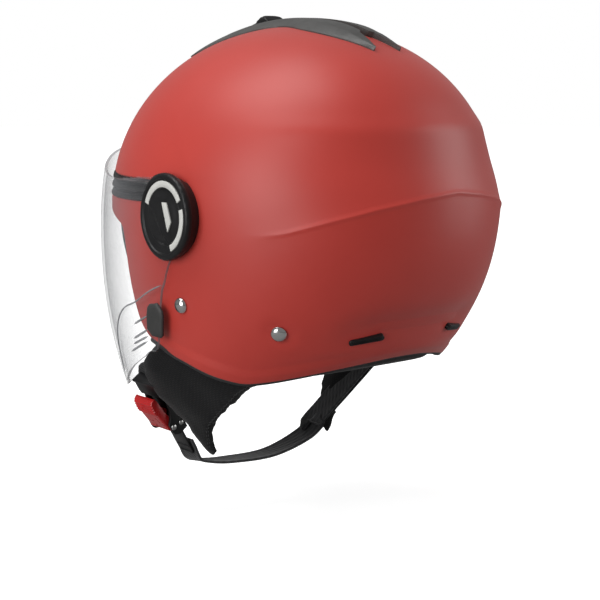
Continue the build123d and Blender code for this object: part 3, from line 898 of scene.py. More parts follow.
VISOR_TOP = fine([(-170, 52), (-130, 38), (-108, 28.5), (-86, 23), (-60, 21.5), (-12, 21.5), (40, 21.5)])
VISOR_LOW = fine([(-170, -130), (-120, -129.5), (-90, -126.5), (-72, -117), (-57, -107.8), (-36, -97.5),
                  (-26, -92.6), (-14, -87.5)])
# rear edge from the lower corner up over the pivot disc, as (y, rise)
VISOR_REAR = [(-20.5, -91.5), (-17.4, -89.0), (-14.9, -83.5), (-11.6, -72), (-8.5, -58), (-5.4, -46),
              (-1.2, -35), (2.6, -28.0), (7.2, -25.4), (13, -22.5), (20.5, -16), (25, -7), (25.9, 2),
              (23, 12), (16.5, 20), (8, 24.7), (0, 26), (-9, 24.4), (-16, 22.2)]
CREASE = curve_points([(y, r, 0) for y, r in (
    (2, -42.0), (-4, -44.5), (-19.5, -50.5), (-37.5, -59.5), (-52, -64.5), (-62, -70.5), (-70, -79),
    (-75, -89), (-77, -101), (-78, -127))], 8)


def crease_gap(y, rise):
    """Signed distance to the visor's moulded step, positive on the panel behind and below it."""
    best, sign = 1e9, 1
    for a, b in zip(CREASE, CREASE[1:]):
        edge = b - a
        t = min(max(((y - a.x) * edge.x + (rise - a.y) * edge.y) / edge.length_squared, 0), 1)
        d = sqrt((y - a.x - t * edge.x) ** 2 + (rise - a.y - t * edge.y) ** 2)
        if d < best:
            best = d
            sign = 1 if edge.x * (rise - a.y) - edge.y * (y - a.x) > 0 else -1
    return best * sign


def visor_lift(y, rise):
    """Relief on the outside: the stepped panel."""
    if y < -100 or rise > -30:
        return 0.0
    lift = 1.1 * smooth(-1.9, 1.9, crease_gap(y, rise))
    return lift


def build_visor():
    columns, rows = 124, 124
    rear = even(curve_points([(y, r, 0) for y, r in VISOR_REAR], 8), rows + 1)
    corner_low, corner_top = rear[0], rear[-1]
    low_turn = visor_turn(corner_low.x, corner_low.y)
    top_turn = visor_turn(corner_top.x, corner_top.y)
    rear = [Vector((visor_turn(p.x, p.y), p.y)) for p in rear]
    half = []
    for c in range(columns + 1):
        t = c / columns
        low_at, top_at = low_turn * t, top_turn * t
        low = Vector((low_at, mix(visor_rise(VISOR_LOW, low_at), corner_low.y, smooth(0.94, 1, t))))
        top = Vector((top_at, mix(visor_rise(VISOR_TOP, top_at), corner_top.y, smooth(0.9, 1, t))))
        column = []
        for r in range(rows + 1):
            v = r / rows
            plain = low.lerp(top, v)
            straight = Vector((low_turn, corner_low.y)).lerp(Vector((top_turn, corner_top.y)), v)
            column.append(plain + (rear[r] - straight) * smooth(0.35, 1.0, t) ** 1.2)
        half.append(column)
    whole = [[Vector((-p.x, p.y)) for p in column] for column in reversed(half[1:])] + half
    points = []
    for column in whole:
        for p in column:
            base = visor_point(p.x, p.y)
            points.append(base + visor_normal(p.x, p.y) * visor_lift(base.y, p.y))
    visor = make_piece("clear_visor", points, grid_faces(len(whole), rows + 1), CLEAR, "visor",
                       "clear_plastic", ["visor"])
    visor.data.materials.append(CLEAR_EDGE)
    thick = visor.modifiers.new("thick", "SOLIDIFY")
    thick.thickness = VISOR_THICK * MM
    thick.offset = -1
    thick.material_offset_rim = 1
    apply_modifiers(visor)
    return bevelled(visor, 0.45, 2, 50)


visor = build_visor()

# raised step line and four slanted ribs moulded on each side of the visor
VISOR_RIBS = [((-41, -75), (-23.5, -67.5)), ((-44.5, -85.5), (-24.8, -77)), ((-46, -89.5), (-25.5, -81.5)),
              ((-51.5, -95.5), (-26.8, -85.2))]


def visor_bar(line, side, radius):
    """A thin moulded bar lying on the visor, tapered at both ends, along side-view points."""
    ring = [(cos(2 * pi * k / 8), sin(2 * pi * k / 8)) for k in range(8)]
    spots = []
    for p in line:
        turn = visor_turn(p.x, p.y)
        normal = visor_normal(turn, p.y)
        spots.append((visor_point(turn, p.y) + normal * visor_lift(p.x, p.y), normal))
    points = []
    for index, (here, normal) in enumerate(spots):
        ahead = spots[min(index + 1, len(spots) - 1)][0] - spots[max(index - 1, 0)][0]
        across_line = ahead.normalized().cross(normal).normalized()
        size = radius * (0.25 + 0.75 * smooth(0, 4, min(index, len(spots) - 1 - index)))
        points += [here + across_line * (a * size) + normal * (b * size * 0.8) for a, b in ring]
    points = [Vector((side * p.x, p.y, p.z)) for p in points]
    faces = grid_faces(len(spots), 8, closed=True)
    faces += [tuple(range(8)), tuple(range((len(spots) - 1) * 8, len(spots) * 8))]
    return points, faces


for side, name in ((1, "left"), (-1, "right")):
    step = [p for p in even(CREASE, 90) if p.y > -118 and p.x < -6]
    bars = [visor_bar(step, side, 0.55)]
    for start, stop in VISOR_RIBS:
        a, b = Vector((*start, 0)), Vector((*stop, 0))
        bars.append(visor_bar([a.lerp(b, k / 20) for k in range(21)], side, 0.8))
    make_piece("visor_ribs_" + name, *joined(*bars), CLEAR_EDGE, "visor", "clear_plastic")

# rubber bumpers on the visor's rear edge
for side, name in ((1, "left"), (-1, "right")):
    outline = [(-21.5, -60.8), (-19, -58.8), (-11.2, -57.6), (-6.4, -62.6), (-6.0, -66), (-8.6, -79.5),
               (-10.6, -81), (-19.5, -80.6), (-24.4, -76.5), (-23.4, -67)]
    ring = []
    for p, q in zip(outline, outline[1:] + outline[:1]):
        ring += [Vector((mix(p[0], q[0], k / 4), mix(p[1], q[1], k / 4))) for k in range(4)]
    centre = Vector((sum(p.x for p in ring), sum(p.y for p in ring))) / len(ring)
    points = []
    layers = [(0.0, 2.1), (0.35, 2.15), (0.7, 2.1), (0.88, 1.95), (0.96, 1.5), (1.0, 0.9), (1.0, 0.2),
              (0.97, -0.4)]
    for share, height in layers[1:]:
        for p in ring:
            here = centre.lerp(p, share)
            turn = visor_turn(here.x, here.y)
            proud = height + visor_lift(here.x, here.y) * 0.5
            at = visor_point(turn, here.y) + visor_normal(turn, here.y) * proud
            points.append(at)
    n = len(ring)
    faces = grid_faces(len(layers) - 1, n, closed=True)
    faces += [tuple(range(n)), tuple(range(n * (len(layers) - 2), n * (len(layers) - 1)))]
    if side < 0:
        points = flipped(points)
    make_piece("visor_tab_" + name, points, faces, TAB, "visor", "black_rubber", ["visor_bumper_" + name])

# ---------------------------------------------------------------- pivot caps
CAP_FACE = 127.2
CAP_TILT = radians(8.5)
CAP_SEAT = frame_matrix(Vector((CAP_FACE, 0, PIVOT_Z)), Vector((0, 1, 0)),
                        Vector((cos(CAP_TILT), -sin(CAP_TILT), 0)))
CHORD_A, CHORD_B = Vector((-16.5, 8.5)), Vector((5.5, -20.5))


def cap_height(x, y):
    """Height of the cap's face: rolled rim, ring channel, inner plate, dish and cut-off segment."""
    r = sqrt(x * x + y * y)
    height = 0.0
    height -= mix(0.7, 1.5, smooth(-20, 15, x)) * smooth(24.9, 24.1, r)
    plate = smooth(19.0, 18.2, r)
    height += 0.5 * plate
    # dish: a crescent scooped between two circles, deepest towards the rear
    inner = sqrt((x + 3.2) ** 2 + y * y)
    scoop = smooth(12.0, 18.5, inner) * smooth(18.6, 17.4, r) * smooth(-14, 2, x)
    height -= 1.5 * scoop
    # the segment ahead of the chord is lower
    chord = (CHORD_B - CHORD_A).normalized()
    behind = (y - CHORD_A.y) * chord.x - (x - CHORD_A.x) * chord.y
    height -= 0.3 * smooth(0.25, -0.25, behind) * smooth(24.3, 23.8, r)
    return height + 0.5 * bump(behind, 0.4) * smooth(24.0, 23.0, r)


def build_cap(side, name):
    steps = 180
    radii = [0.0]
    while radii[-1] < 25.4:
        radii.append(radii[-1] + (0.28 if 16.8 < radii[-1] < 19.6 or 23.6 < radii[-1] < 25.2 else 0.7))
    wall = [(26.2, 0.0), (26.9, -0.08), (27.5, -0.3), (28.05, -0.75), (28.4, -1.4), (28.55, -2.2),
            (28.6, -3.2), (28.6, -3.6), (28.35, -3.75), (28.35, -4.1), (28.5, -4.25), (28.1, -6.0),
            (27.6, -8.0), (26.8, -14.0)]
    inner_wall = [(25.6, -14.0), (25.6, -6.5), (23.0, -6.0), (6.0, -5.5)]
    points, faces = [], []
    profile = [(r, None) for r in radii[1:]] + wall + inner_wall
    for k in range(steps):
        angle = 2 * pi * k / steps
        for index, (r, h) in enumerate(profile):
            x, y = r * cos(angle), r * sin(angle)
            knurl = 0.0
            if h is not None and -3.0 < h < -0.5 and r > 28:
                knurl = 0.22 * (1 if (k % 6) < 2 else 0)
            x, y = (r - knurl) * cos(angle), (r - knurl) * sin(angle)
            height = cap_height(x, y) if h is None else h
            at = CAP_SEAT @ Vector((x, y, height))
            if h is not None and h < -2.5:
                at.y -= (-h - 2.5) * sin(CAP_TILT)
                seat_x = mix(124.25, shell_side_x(at.y, at.z) - 0.4, smooth(11, 15, at.y))
                at.x = max(at.x, min(seat_x, CAP_FACE + at.y * tan(CAP_TILT) - 1.3))
            points.append(at)
    n = len(profile)
    for k in range(steps):
        m = (k + 1) % steps
        for i in range(n - 1):
            faces.append((k * n + i, m * n + i, m * n + i + 1, k * n + i + 1))
        faces.append(())
    faces = [face for face in faces if face]
    base = len(points)
    points.append(CAP_SEAT @ Vector((0, 0, cap_height(0, 0))))
    faces += [(base, k * n, ((k + 1) % steps) * n) for k in range(steps)]
    faces.append(tuple(k * n + n - 1 for k in range(steps)))
    if side < 0:
        points = flipped(points)
    cap = make_piece("visor_cap_" + name, points, faces, BLACK, "root", "black_plastic",
                     ["pivot_cap_" + name])
    return crisp(cap, 40)


def shell_side_x(y, z):
    turn = turn_at(y, z - PIVOT_Z)
    return plain_shell(turn, z - PIVOT_Z).x


def cap_mark(side, name):
    """Two silver arcs and a plain slanted bar."""
    shapes = []
    for start, spread in ((31, 128), (-68, 84)):
        ring = []
        steps = 40
        for k in range(steps + 1):
            a = radians(start + spread * k / steps)
            ring.append([(r * cos(a), r * sin(a)) for r in (19.25, 19.6, 23.2, 23.55)])
        points, faces = [], []
        for row in ring:
            for (x, y), h in zip(row, (-0.55, -0.35, -0.35, -0.55)):
                points.append(Vector((x, y, h)))
            points.append(Vector((row[3][0], row[3][1], -1.9)))
            points.append(Vector((row[0][0], row[0][1], -1.9)))
        faces = grid_faces(steps + 1, 6, closed=True)
        faces += [tuple(range(6)), tuple(range(steps * 6, steps * 6 + 6))]
        shapes.append((placed(points, CAP_SEAT), faces))
    bar = [(-1.0, 9.5), (4.4, 9.5), (9.6, -3.0), (5.6, -9.5)]
    bar_points = [Vector((x, y, h)) for h in (-1.0, 0.0) for x, y in bar]
    bar_faces = [(0, 1, 2, 3), (4, 5, 6, 7), (0, 1, 5, 4), (1, 2, 6, 5), (2, 3, 7, 6), (3, 0, 4, 7)]
    shapes.append((placed(bar_points, CAP_SEAT), bar_faces))
    points, faces = joined(*shapes)
    if side < 0:
        points = flipped(points)
    mark = make_piece("cap_inlay_" + name, points, faces, SILVER, "root", "silver", ["cap_inlays_" + name])
    return bevelled(mark, 0.12, 2, 40)


for side, name in ((1, "left"), (-1, "right")):
    build_cap(side, name)
    cap_mark(side, name)

# ---------------------------------------------------------------- crown cover, knob and vent slider
COVER_OUT = fine([(-92, 0.8), (-84, 16), (-76, 29), (-65, 42), (-54, 51), (-38, 44), (-22, 35.5),
                  (-6, 24.5), (6, 21.5), (28, 26), (48, 24.8), (66, 19), (80, 12.6)])
COVER_IN = [(-41, 0.0), (-40.5, 3.5), (56.5, 3.5), (58, 4.2), (60, 6.8), (70, 9.2), (80, 12.0)]


def crown_point(x, y, height):
    """The place over the crown at a plan position, height above the shell."""
    lo, hi = 0.0, CROWN - 0.001
    for _ in range(34):
        rise = (lo + hi) / 2
        width, front, rear = extents(rise)
        reach = front if y < 0 else rear
        inside = (abs(x) / max(width, 1e-6)) ** ROUNDNESS + (abs(y) / max(reach, 1e-6)) ** ROUNDNESS
        if inside < 1:
            lo = rise
        else:
            hi = rise
    away = Vector((x, y * 0.95, lo + 6))
    return Vector((x, y, PIVOT_Z + lo)) + away.normalized() * height


def cover_height(x, y, inner, outer):
    """The wing's section: a spine beside the slot, a crease, then a facet falling to the outer edge."""
    u = (abs(x) - inner) / max(outer - inner, 1e-6)
    crease = mix(0.40, 0.52, smooth(-30, 20, y))
    top = mix(3.6, 4.9, smooth(-60, 0, y)) * (1 - 0.35 * smooth(40, 80, y))
    edge = 0.9
    if u < crease:
        height = top - 0.35 * (u / crease) ** 2
    else:
        height = mix(top - 0.35, edge, ((u - crease) / (1 - crease)) ** 1.1)
    nose = smooth(-93, -70, y)
    height = mix(0.9, height, nose)
    pocket = smooth(12.4, 11.4, abs(x)) * smooth(-70.5, -69, y) * smooth(-45.5, -47, y)
    return height - 2.2 * pocket


def build_cover():
    points, faces = [], []
    rows, columns = 150, 30
    for side in (1, -1):
        base = len(points)
        for r in range(rows + 1):
            y = -91.5 + 171.0 * r / rows
            inner = along(COVER_IN, y) if y >= -41 else 0.0
            outer = along(COVER_OUT, y)
            outer = max(outer, inner + 0.4)
            line = []
            for c in range(columns + 1):
                x = mix(inner, outer, c / columns)
                line.append(crown_point(x, y, cover_height(x, y, inner, outer)))
            for c in range(columns, -1, -3):
                x = mix(inner, outer, c / columns)
                line.append(crown_point(x, y, -0.4))
            points += line if side > 0 else flipped(line)
            width = len(line)
        faces += [tuple(base + i for i in face) for face in grid_faces(rows + 1, width, closed=True)]
        faces.append(tuple(base + i for i in range(width)))
        faces.append(tuple(base + rows * width + i for i in range(width)))
    cover = make_piece("crown_cover", points, faces, COVER, "root", "black_plastic", ["top_cover"])
    return crisp(cover, 26)


cover = build_cover()

SLIDE_Y, SLIDE_RISE = 5.0, -34.0
SLIDE_RADIUS = CROWN - SLIDE_RISE


def on_slide(angle, x, radius):
    a = radians(angle)
    return Vector((x, SLIDE_Y + radius * sin(a), PIVOT_Z + SLIDE_RISE + radius * cos(a)))


def build_knob():
    points, faces = block(9, 9.6, 1.0, 0, 0.0, 4.0)
    middle = -13.5
    shaped = []
    for p in points:
        angle = middle + degrees(p.y / (SLIDE_RADIUS + 4.7))
        if p.z > 0:
            dome = 5.8 * sqrt(max(1 - ((p.y - 3.2) / 6.6) ** 2, 0))
            front = 2.6 * smooth(-9.7, -6.0, p.y)
            grip = 0.45 * (0.5 + 0.5 * cos(p.y * 2.4)) * smooth(9.0, 7.8, abs(p.x))
            height = p.z * max(dome, front) - grip * p.z
        else:
            height = p.z + 0.5
        shaped.append(on_slide(angle, p.x, SLIDE_RADIUS + 4.8 + height))
    shapes = [(shaped, faces)]
    for low, high, half_x, from_angle, to_angle in ((-7, 5.2, 2.7, -15.2, -11.8),
                                                    (-9, -6.8, 7.8, -16.4, -10.6)):
        cells = []
        for k in range(9):
            angle = mix(from_angle, to_angle, k / 8)
            for x, h in ((-half_x, low), (half_x, low), (half_x, high), (-half_x, high)):
                cells.append(on_slide(angle, x, SLIDE_RADIUS + h))
        shapes.append((cells, grid_faces(9, 4, closed=True) + [(0, 1, 2, 3), (32, 33, 34, 35)]))
    knob = make_piece("sun_visor_knob", *joined(*shapes), BLACK, "sun_visor_slider", "black_plastic",
                      ["sun_visor_slider"])
    return crisp(knob, 40)


knob = build_knob()

vent_seat = frame_matrix(Vector((0, -55, PIVOT_Z + 114)), Vector((1, 0, 0)), Vector((0, -0.37, 0.929)))
plate = block(9, 6, 3.0, 3, 0.5, 6.0)
tab = block(4, 3, 2.1, 2, 0.3, 4.0)
vent_points, vent_faces = joined(
    ([Vector((p.x, p.y - 1, p.z + 1.4)) for p in plate[0]], plate[1]),
    ([Vector((p.x, p.y - 1, p.z + 4.0)) for p in tab[0]], tab[1]))
vent = make_piece("vent_shutter", placed(vent_points, vent_seat), vent_faces, BLACK, "vent_slider",
                  "black_plastic", ["vent_slider"])
crisp(vent, 40)

# ---------------------------------------------------------------- strap rivets
rivet_shapes = []
for side in (1, -1):
    for y, rise in RIVETS:
        seat = normal_frame(y, rise, side)
        seat = seat @ Matrix.Translation(Vector((0, 0, -0.9)))
        dome_line = [(0.0, 3.6)] + [(5.4 * sin(radians(a)), 3.6 - 5.4 * (1 - cos(radians(a))) * 0.62)
                                    for a in (8, 16, 24, 32, 40, 48, 56, 64)]
        dome_line += [(5.15, 1.2), (5.4, 0.9), (5.4, 0.3), (5.1, 0.0), (1.9, 0.0), (1.9, -8.6), (0.0, -8.6)]
        points, faces = lathe(dome_line, 64)
        rivet_shapes.append((placed(points, seat), faces))
rivets = make_piece("strap_rivet_heads", *joined(*rivet_shapes), CHROME, "root", "chrome_steel",
                    ["strap_rivets"])
crisp(rivets, 45)

# ---------------------------------------------------------------- soft goods
def inflate(piece, voxel=5.0, pressure=4.0, cap=5.0, shrink=1.2):
    """Padding filled by simulation: an even mesh, swollen as cloth under pressure, held near its start."""
    mod = piece.modifiers.new("even", "REMESH")
    mod.mode = "VOXEL"
    mod.voxel_size = voxel * MM
    apply_modifiers(piece)
    mesh = piece.data
    start = [v.co - v.normal * shrink * MM for v in mesh.vertices]
    for v, co in zip(mesh.vertices, start):
        v.co = co
    mod = piece.modifiers.new("cloth", "CLOTH")
    mod.settings.quality = 6
    mod.settings.mass = 0.2
    mod.settings.tension_stiffness = 12
    mod.settings.compression_stiffness = 12
    mod.settings.bending_stiffness = 0.6
    mod.settings.use_pressure = True
    mod.settings.uniform_pressure_force = pressure
    mod.settings.effector_weights.gravity = 0
    mod.point_cache.frame_end = 20
    scene = bpy.context.scene
    for number in range(1, 21):
        scene.frame_set(number)
    shaped = bpy.data.meshes.new_from_object(piece.evaluated_get(bpy.context.evaluated_depsgraph_get()))
    piece.modifiers.clear()
    for v, co, new in zip(mesh.vertices, start, shaped.vertices):
        move = new.co - co
        v.co = co + move * min(1.0, cap * MM / max(move.length, 1e-9))
    scene.frame_set(1)
    piece.modifiers.new("soft", "SMOOTH").iterations = 2
    piece.modifiers.new("fine", "SUBSURF").levels = 1
    apply_modifiers(piece)
    for face in piece.data.polygons:
        face.use_smooth = True
    return piece


def soft_copy(node, name, material, slot, **how):
    """Padding grown from the space a CAD node holds."""
    source = frame["nodes"][node].data
    bm = bmesh.new()
    bm.from_mesh(source)
    bmesh.ops.remove_doubles(bm, verts=bm.verts, dist=2e-5)
    mesh = bpy.data.meshes.new(name)
    bm.to_mesh(mesh)
    bm.free()
    piece = bpy.data.objects.new(name, mesh)
    bpy.context.scene.collection.objects.link(piece)
    inflate(piece, **how)
    dress(piece, material)
    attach(piece, "root")
    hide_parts(node)
    return piece


def stitches(name, piece, line, length=2.6, gap=1.3, radius=0.42, material=None):
    """A row of thread stitches lying on a piece, along a line of rough points in millimetres."""
    line = even(line, max(int(sum((b - a).length for a, b in zip(line, line[1:])) / (length + gap)) * 2, 4))
    shapes = []
    for a, b in zip(line[::2], line[1::2]):
        ends = []
        for p in (a, b):
            _, place, normal, _ = piece.closest_point_on_mesh(p * MM)
            ends.append((place / MM + normal * 0.12, normal))
        (p, normal), (q, _) = ends
        axis = (q - p)
        if axis.length < 0.4 or axis.length > 3 * length:
            continue
        axis.normalize()
        side = axis.cross(normal).normalized()
        ring_at = []
        for t, size in ((-0.1, 0.25), (0.1, 0.85), (0.5, 1.0), (0.9, 0.85), (1.1, 0.25)):
            centre = p.lerp(q, t)
            ring_at += [centre + side * (radius * size * cos(w)) + normal * (0.7 * radius * size * sin(w))
                        for w in (2 * pi * k / 6 for k in range(6))]
        shapes.append((ring_at, grid_faces(5, 6, closed=True) + [tuple(range(6)), tuple(range(24, 30))]))
    return make_piece(name, *joined(*shapes), material or THREAD, "root", "lining")


THREAD = plastic("black_thread", (0.022, 0.022, 0.023), (0.036, 0.036, 0.037), 0.55, 0.7, 2500.0, 0.00005)
for name in ("left", "right"):
    soft_copy("cheek_pad_" + name, "cheek_cushion_" + name, PADDING, "lining",
              voxel=5.0, pressure=4.0, cap=3.0, shrink=2.2)
soft_copy("neck_roll", "neck_curtain", LINING, "lining", voxel=4.5, pressure=3.0, cap=2.0, shrink=1.4)

# Strap sleeves, lofted through levels: (rise, front (x, y), rear (x, y), thickness)
SLEEVES = {
    "left": [(-80, (99, -46), (88, 34), 7), (-88, (97, -47.5), (85, 40), 8),
             (-95, (96.5, -54), (84, 46), 9), (-101, (96.5, -59), (83, 47.5), 9),
             (-107, (95, -63), (82, 46), 9), (-114, (92, -65.5), (80, 40), 9),
             (-122, (87, -65), (78, 27), 9), (-131, (81, -62), (75.5, 14), 8.6),
             (-141, (73.5, -56), (72.5, 0), 8), (-150, (67, -49), (69, -12), 7.6),
             (-162, (60.5, -42), (62.5, -19), 7), (-173, (54.5, -34), (56, -25), 6)],
    "right": [(-88, (94, -37.5), (88, 10), 8), (-95, (93.5, -46.5), (87, 7), 9),
              (-101, (93, -51.5), (85.5, 4), 9), (-107, (92, -53.5), (83.5, 0), 9),
              (-114, (90, -55.5), (80, -5), 9), (-122, (85.5, -57.5), (76.5, -8), 9),
              (-131, (80, -56.5), (73, -12), 8.6), (-141, (73.5, -54), (69.5, -18), 8),
              (-150, (67, -49), (66, -25), 7.6), (-162, (60.5, -42), (61, -27), 7),
              (-173, (54.5, -34), (56, -26), 6)]}


def build_sleeve(name):
    side = 1 if name == "left" else -1
    levels = SLEEVES[name]
    fronts = curve_points([(f[0], f[1], r) for r, f, b, t in levels], 5)
    rears = curve_points([(b[0], b[1], r) for r, f, b, t in levels], 5)
    thick = curve_points([(t, 0, 0) for r, f, b, t in levels], 5)
    points = []
    turns = 44
    for front, rear, t in zip(fronts, rears, thick):
        middle, reach = (front + rear) / 2, (rear - front) / 2
        out = Vector((reach.y, -reach.x, 0)).normalized() * (t.x / 2)
        for k in range(turns):
            w = 2 * pi * k / turns
            c, s = cos(w), sin(w)
            across_share = (1 if c > 0 else -1) * abs(c) ** 0.62
            out_share = (1 if s > 0 else -1) * abs(s) ** 0.55
            points.append(middle + reach * across_share + out * out_share + Vector((0, 0, PIVOT_Z)))
    rows = len(fronts)
    faces = grid_faces(rows, turns, closed=True)
    faces += [tuple(range(turns)), tuple(range((rows - 1) * turns, rows * turns))]
    if side < 0:
        points = flipped(points)
    sleeve = make_piece("chin_sleeve_" + name, points, faces, LINING, "root", "lining",
                        ["strap_sleeve_" + name])
    sleeve.parent = None
    inflate(sleeve, voxel=4.0, pressure=2.5, cap=2.2, shrink=0.8)
    # soft creases where the fabric hangs from the rim and folds at the buckle
    for v in sleeve.data.vertices:
        p = v.co / MM
        p.x = abs(p.x)
        rise = p.z - PIVOT_Z
        fold = 0.55 * noise.noise(Vector((p.y * 0.045, rise * 0.06, side * 3.1)))
        hang = smooth(-100, -112, rise) * smooth(-160, -140, rise)
        fold += 0.35 * sin(0.16 * p.y + 0.11 * rise + 1.2) * hang
        v.co += v.normal * fold * MM
    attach(sleeve, "root")
    for row, inset in enumerate((0.13, 0.19)):
        line = []
        for front, rear in list(zip(fronts, rears))[14:-3]:
            t = 1 - min(inset * 30 / max((rear - front).length, 1), 0.4)
            p = front.lerp(rear, t) + Vector((5, 0, PIVOT_Z))
            line.append(Vector((side * p.x, p.y, p.z)))
        stitches("sleeve_seam_%s_%d" % (name, row + 1), sleeve, line)
    return sleeve


for name in ("left", "right"):
    build_sleeve(name)

# ---------------------------------------------------------------- crown lining with sewn channels
def liner_edge(turn):
    """Height of the crown lining's lower edge at a turn."""
    rise = 0.0
    for _ in range(6):
        y = plain_shell(turn, rise, 37).y
        rise = along([(-90, 24), (-60, 20), (0, -2), (95, -18)], y)
    return rise


def build_lining():
    count, rows = 150, 34
    grid = []
    for c in range(count):
        turn = 2 * pi * c / count - pi
        edge = liner_edge(turn)
        outer, inner = [], []
        for r in range(rows + 1):
            t = r / rows
            level = mix(level_of(edge), 1.53, t)
            for inset, line in ((32.6, outer), (41.0, inner)):
                crown = CROWN - inset
                rise = rise_of(level) * (crown / CROWN if rise_of(level) > 0 else 1.0)
                depth = inset
                if inset > 40:
                    seam = abs(sin(3 * turn))
                    ring = abs(level - 0.75) * 60
                    puff = min(smooth(0, 0.35, seam), smooth(0, 4.5, ring))
                    depth = inset - 4.2 + 4.0 * puff
                    depth -= 3.2 * smooth(3.0, 0.0, (level - level_of(edge)) * 100)
                    rise = rise_of(level) * ((CROWN - depth) / CROWN if rise_of(level) > 0 else 1.0)
                line.append(plain_shell(turn, min(rise, CROWN - depth - 0.01), depth))
        grid.append(list(reversed(inner)) + outer)
    size = len(grid[0])
    points = [p for column in grid for p in column]
    faces = []
    for c in range(count):
        d = (c + 1) % count
        for r in range(size - 1):
            faces.append((c * size + r, d * size + r, d * size + r + 1, c * size + r + 1))
    for row in (0, size - 1):
        middle = sum((grid[c][row] for c in range(count)), Vector()) / count
        points.append(middle)
        faces += [(len(points) - 1, c * size + row, ((c + 1) % count) * size + row) for c in range(count)]
    lining = make_piece("crown_padding", points, faces, PADDING, "root", "lining", ["crown_liner"])
    return lining


lining = build_lining()

# ---------------------------------------------------------------- straps
BUCKLE_Z = Vector((0.828, -0.042, -0.558)).normalized()
BUCKLE_X = Vector(JOINTS["buckle_lever_hinge"]["axis"]).normalized()
BUCKLE_Y = -Vector(JOINTS["buckle_tongue_slide"]["axis"]).normalized()
PIN = Vector(JOINTS["buckle_lever_hinge"]["pos_m"]) / MM
PIN_Y, PIN_Z = -15.0, 6.0
BUCKLE_ORIGIN = PIN - BUCKLE_Y * PIN_Y - BUCKLE_Z * PIN_Z


def at_buckle(x, y, z):
    return BUCKLE_ORIGIN + BUCKLE_X * x + BUCKLE_Y * y + BUCKLE_Z * z


def strap_shape(path, facing, width=20.0, thick=1.5, spans=10):
    """Flat webbing with a rolled selvedge along each side."""
    centre = curve_points(path, spans)
    normals = curve_points(facing, spans)
    frames = []
    for index, here in enumerate(centre):
        a, b = centre[max(index - 1, 0)], centre[min(index + 1, len(centre) - 1)]
        direction = (b - a).normalized()
        out = (normals[index] - direction * normals[index].dot(direction)).normalized()
        frames.append((here, direction.cross(out).normalized(), out))
    half, high = width / 2, thick / 2
    outline = [(half - 1.6, high), (half - 1.1, high + 0.22), (half - 0.5, high + 0.1), (half, 0),
               (half - 0.5, -high - 0.1), (half - 1.1, -high - 0.22), (half - 1.6, -high)]
    profile = [(-half * 0.45, high), (0, high), (half * 0.45, high)] + outline
    profile += [(half * 0.45, -high), (0, -high), (-half * 0.45, -high)]
    profile += [(-x, -z) for x, z in outline]
    return tube(None, profile, frames=frames)


def lifted_points(rows):
    return [Vector((x, y, PIVOT_Z + rise)) for x, y, rise in rows]


left_meet, left_end = at_buckle(0, 23, -6.5), at_buckle(0, 10.5, -1.2)
right_meet = [Vector((-60, -40, PIVOT_Z - 160)), Vector((-53.5, -42.4, PIVOT_Z - 166.4))]
right_inner = [p + Vector((1.3, 0, 1.0)) for p in right_meet]
legs_left = [
    (lifted_points([(112, 4, -53), (104, 2, -70), (91, -4, -90), (84, -32, -119)]) + [left_meet, left_end],
     [(1, 0, -0.12), (1, 0, -0.2), (1, 0, -0.25), (0.9, -0.2, -0.4), BUCKLE_Z, BUCKLE_Z]),
    (lifted_points([(90.4, 69.4, -67), (80.5, 50, -90), (82, 5, -108)]) + [left_meet, left_end],
     [(0.75, 0.6, -0.25), (0.8, 0.5, -0.35), (0.9, 0, -0.4), BUCKLE_Z, BUCKLE_Z])]
legs_right = [
    (lifted_points([(-112, 4, -53), (-104.5, 0, -88), (-90, -15, -115)]) + right_meet,
     [(-1, 0, -0.12), (-1, 0, -0.25), (-0.9, 0, -0.4), (-0.8, 0, -0.6), (-0.7, 0, -0.72)]),
    (lifted_points([(-90.4, 69.4, -67), (-86, 40, -82), (-83, 5, -100)]) + right_inner,
     [(-0.75, 0.6, -0.25), (-0.8, 0.5, -0.35), (-0.85, 0.1, -0.5), (-0.8, 0, -0.6), (-0.7, 0, -0.72)])]
for name, legs in (("left", legs_left), ("right", legs_right)):
    make_piece("webbing_" + name, *joined(*(strap_shape(path, facing) for path, facing in legs)), WEBBING,
               "root", "webbing", ["strap_webbing_" + name])

band_path = [at_buckle(0, -37, -3.6), at_buckle(0, -43.5, -3.4)]
band_path += lifted_points([(38.6, -71.2, -183.6), (30, -69.3, -186.6), (12, -64, -188), (-20, -54, -186),
                            (-47.3, -45, -175), (-60, -40.5, -163), (-66.8, -38, -156.3)])
band_facing = [BUCKLE_Z, BUCKLE_Z, (0.6, 0, -0.8), (0.3, 0, -0.95), (0, 0, -1), (-0.2, 0, -1),
               (-0.6, 0, -0.8), (-0.8, 0, -0.6), (-0.8, 0, -0.6)]
band = make_piece("chin_webbing", *strap_shape(band_path, band_facing), WEBBING, "root", "webbing",
                  ["chin_band"])
band.parent = None
del band["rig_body"]
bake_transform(band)

# ---------------------------------------------------------------- ratchet buckle
BUCKLE_SEAT = Matrix((
    (BUCKLE_X.x, BUCKLE_Y.x, BUCKLE_Z.x, BUCKLE_ORIGIN.x),
    (BUCKLE_X.y, BUCKLE_Y.y, BUCKLE_Z.y, BUCKLE_ORIGIN.y),
    (BUCKLE_X.z, BUCKLE_Y.z, BUCKLE_Z.z, BUCKLE_ORIGIN.z),
    (0, 0, 0, 1)))


def plate_shape(outline, low, high):
    """A flat plate from an outline in the buckle's x and y."""
    n = len(outline)
    points = [Vector((x, y, z)) for z in (low, high) for x, y in outline]
    faces = [(i, (i + 1) % n, n + (i + 1) % n, n + i) for i in range(n)]
    return points, faces + [tuple(range(n)), tuple(range(n, 2 * n))]


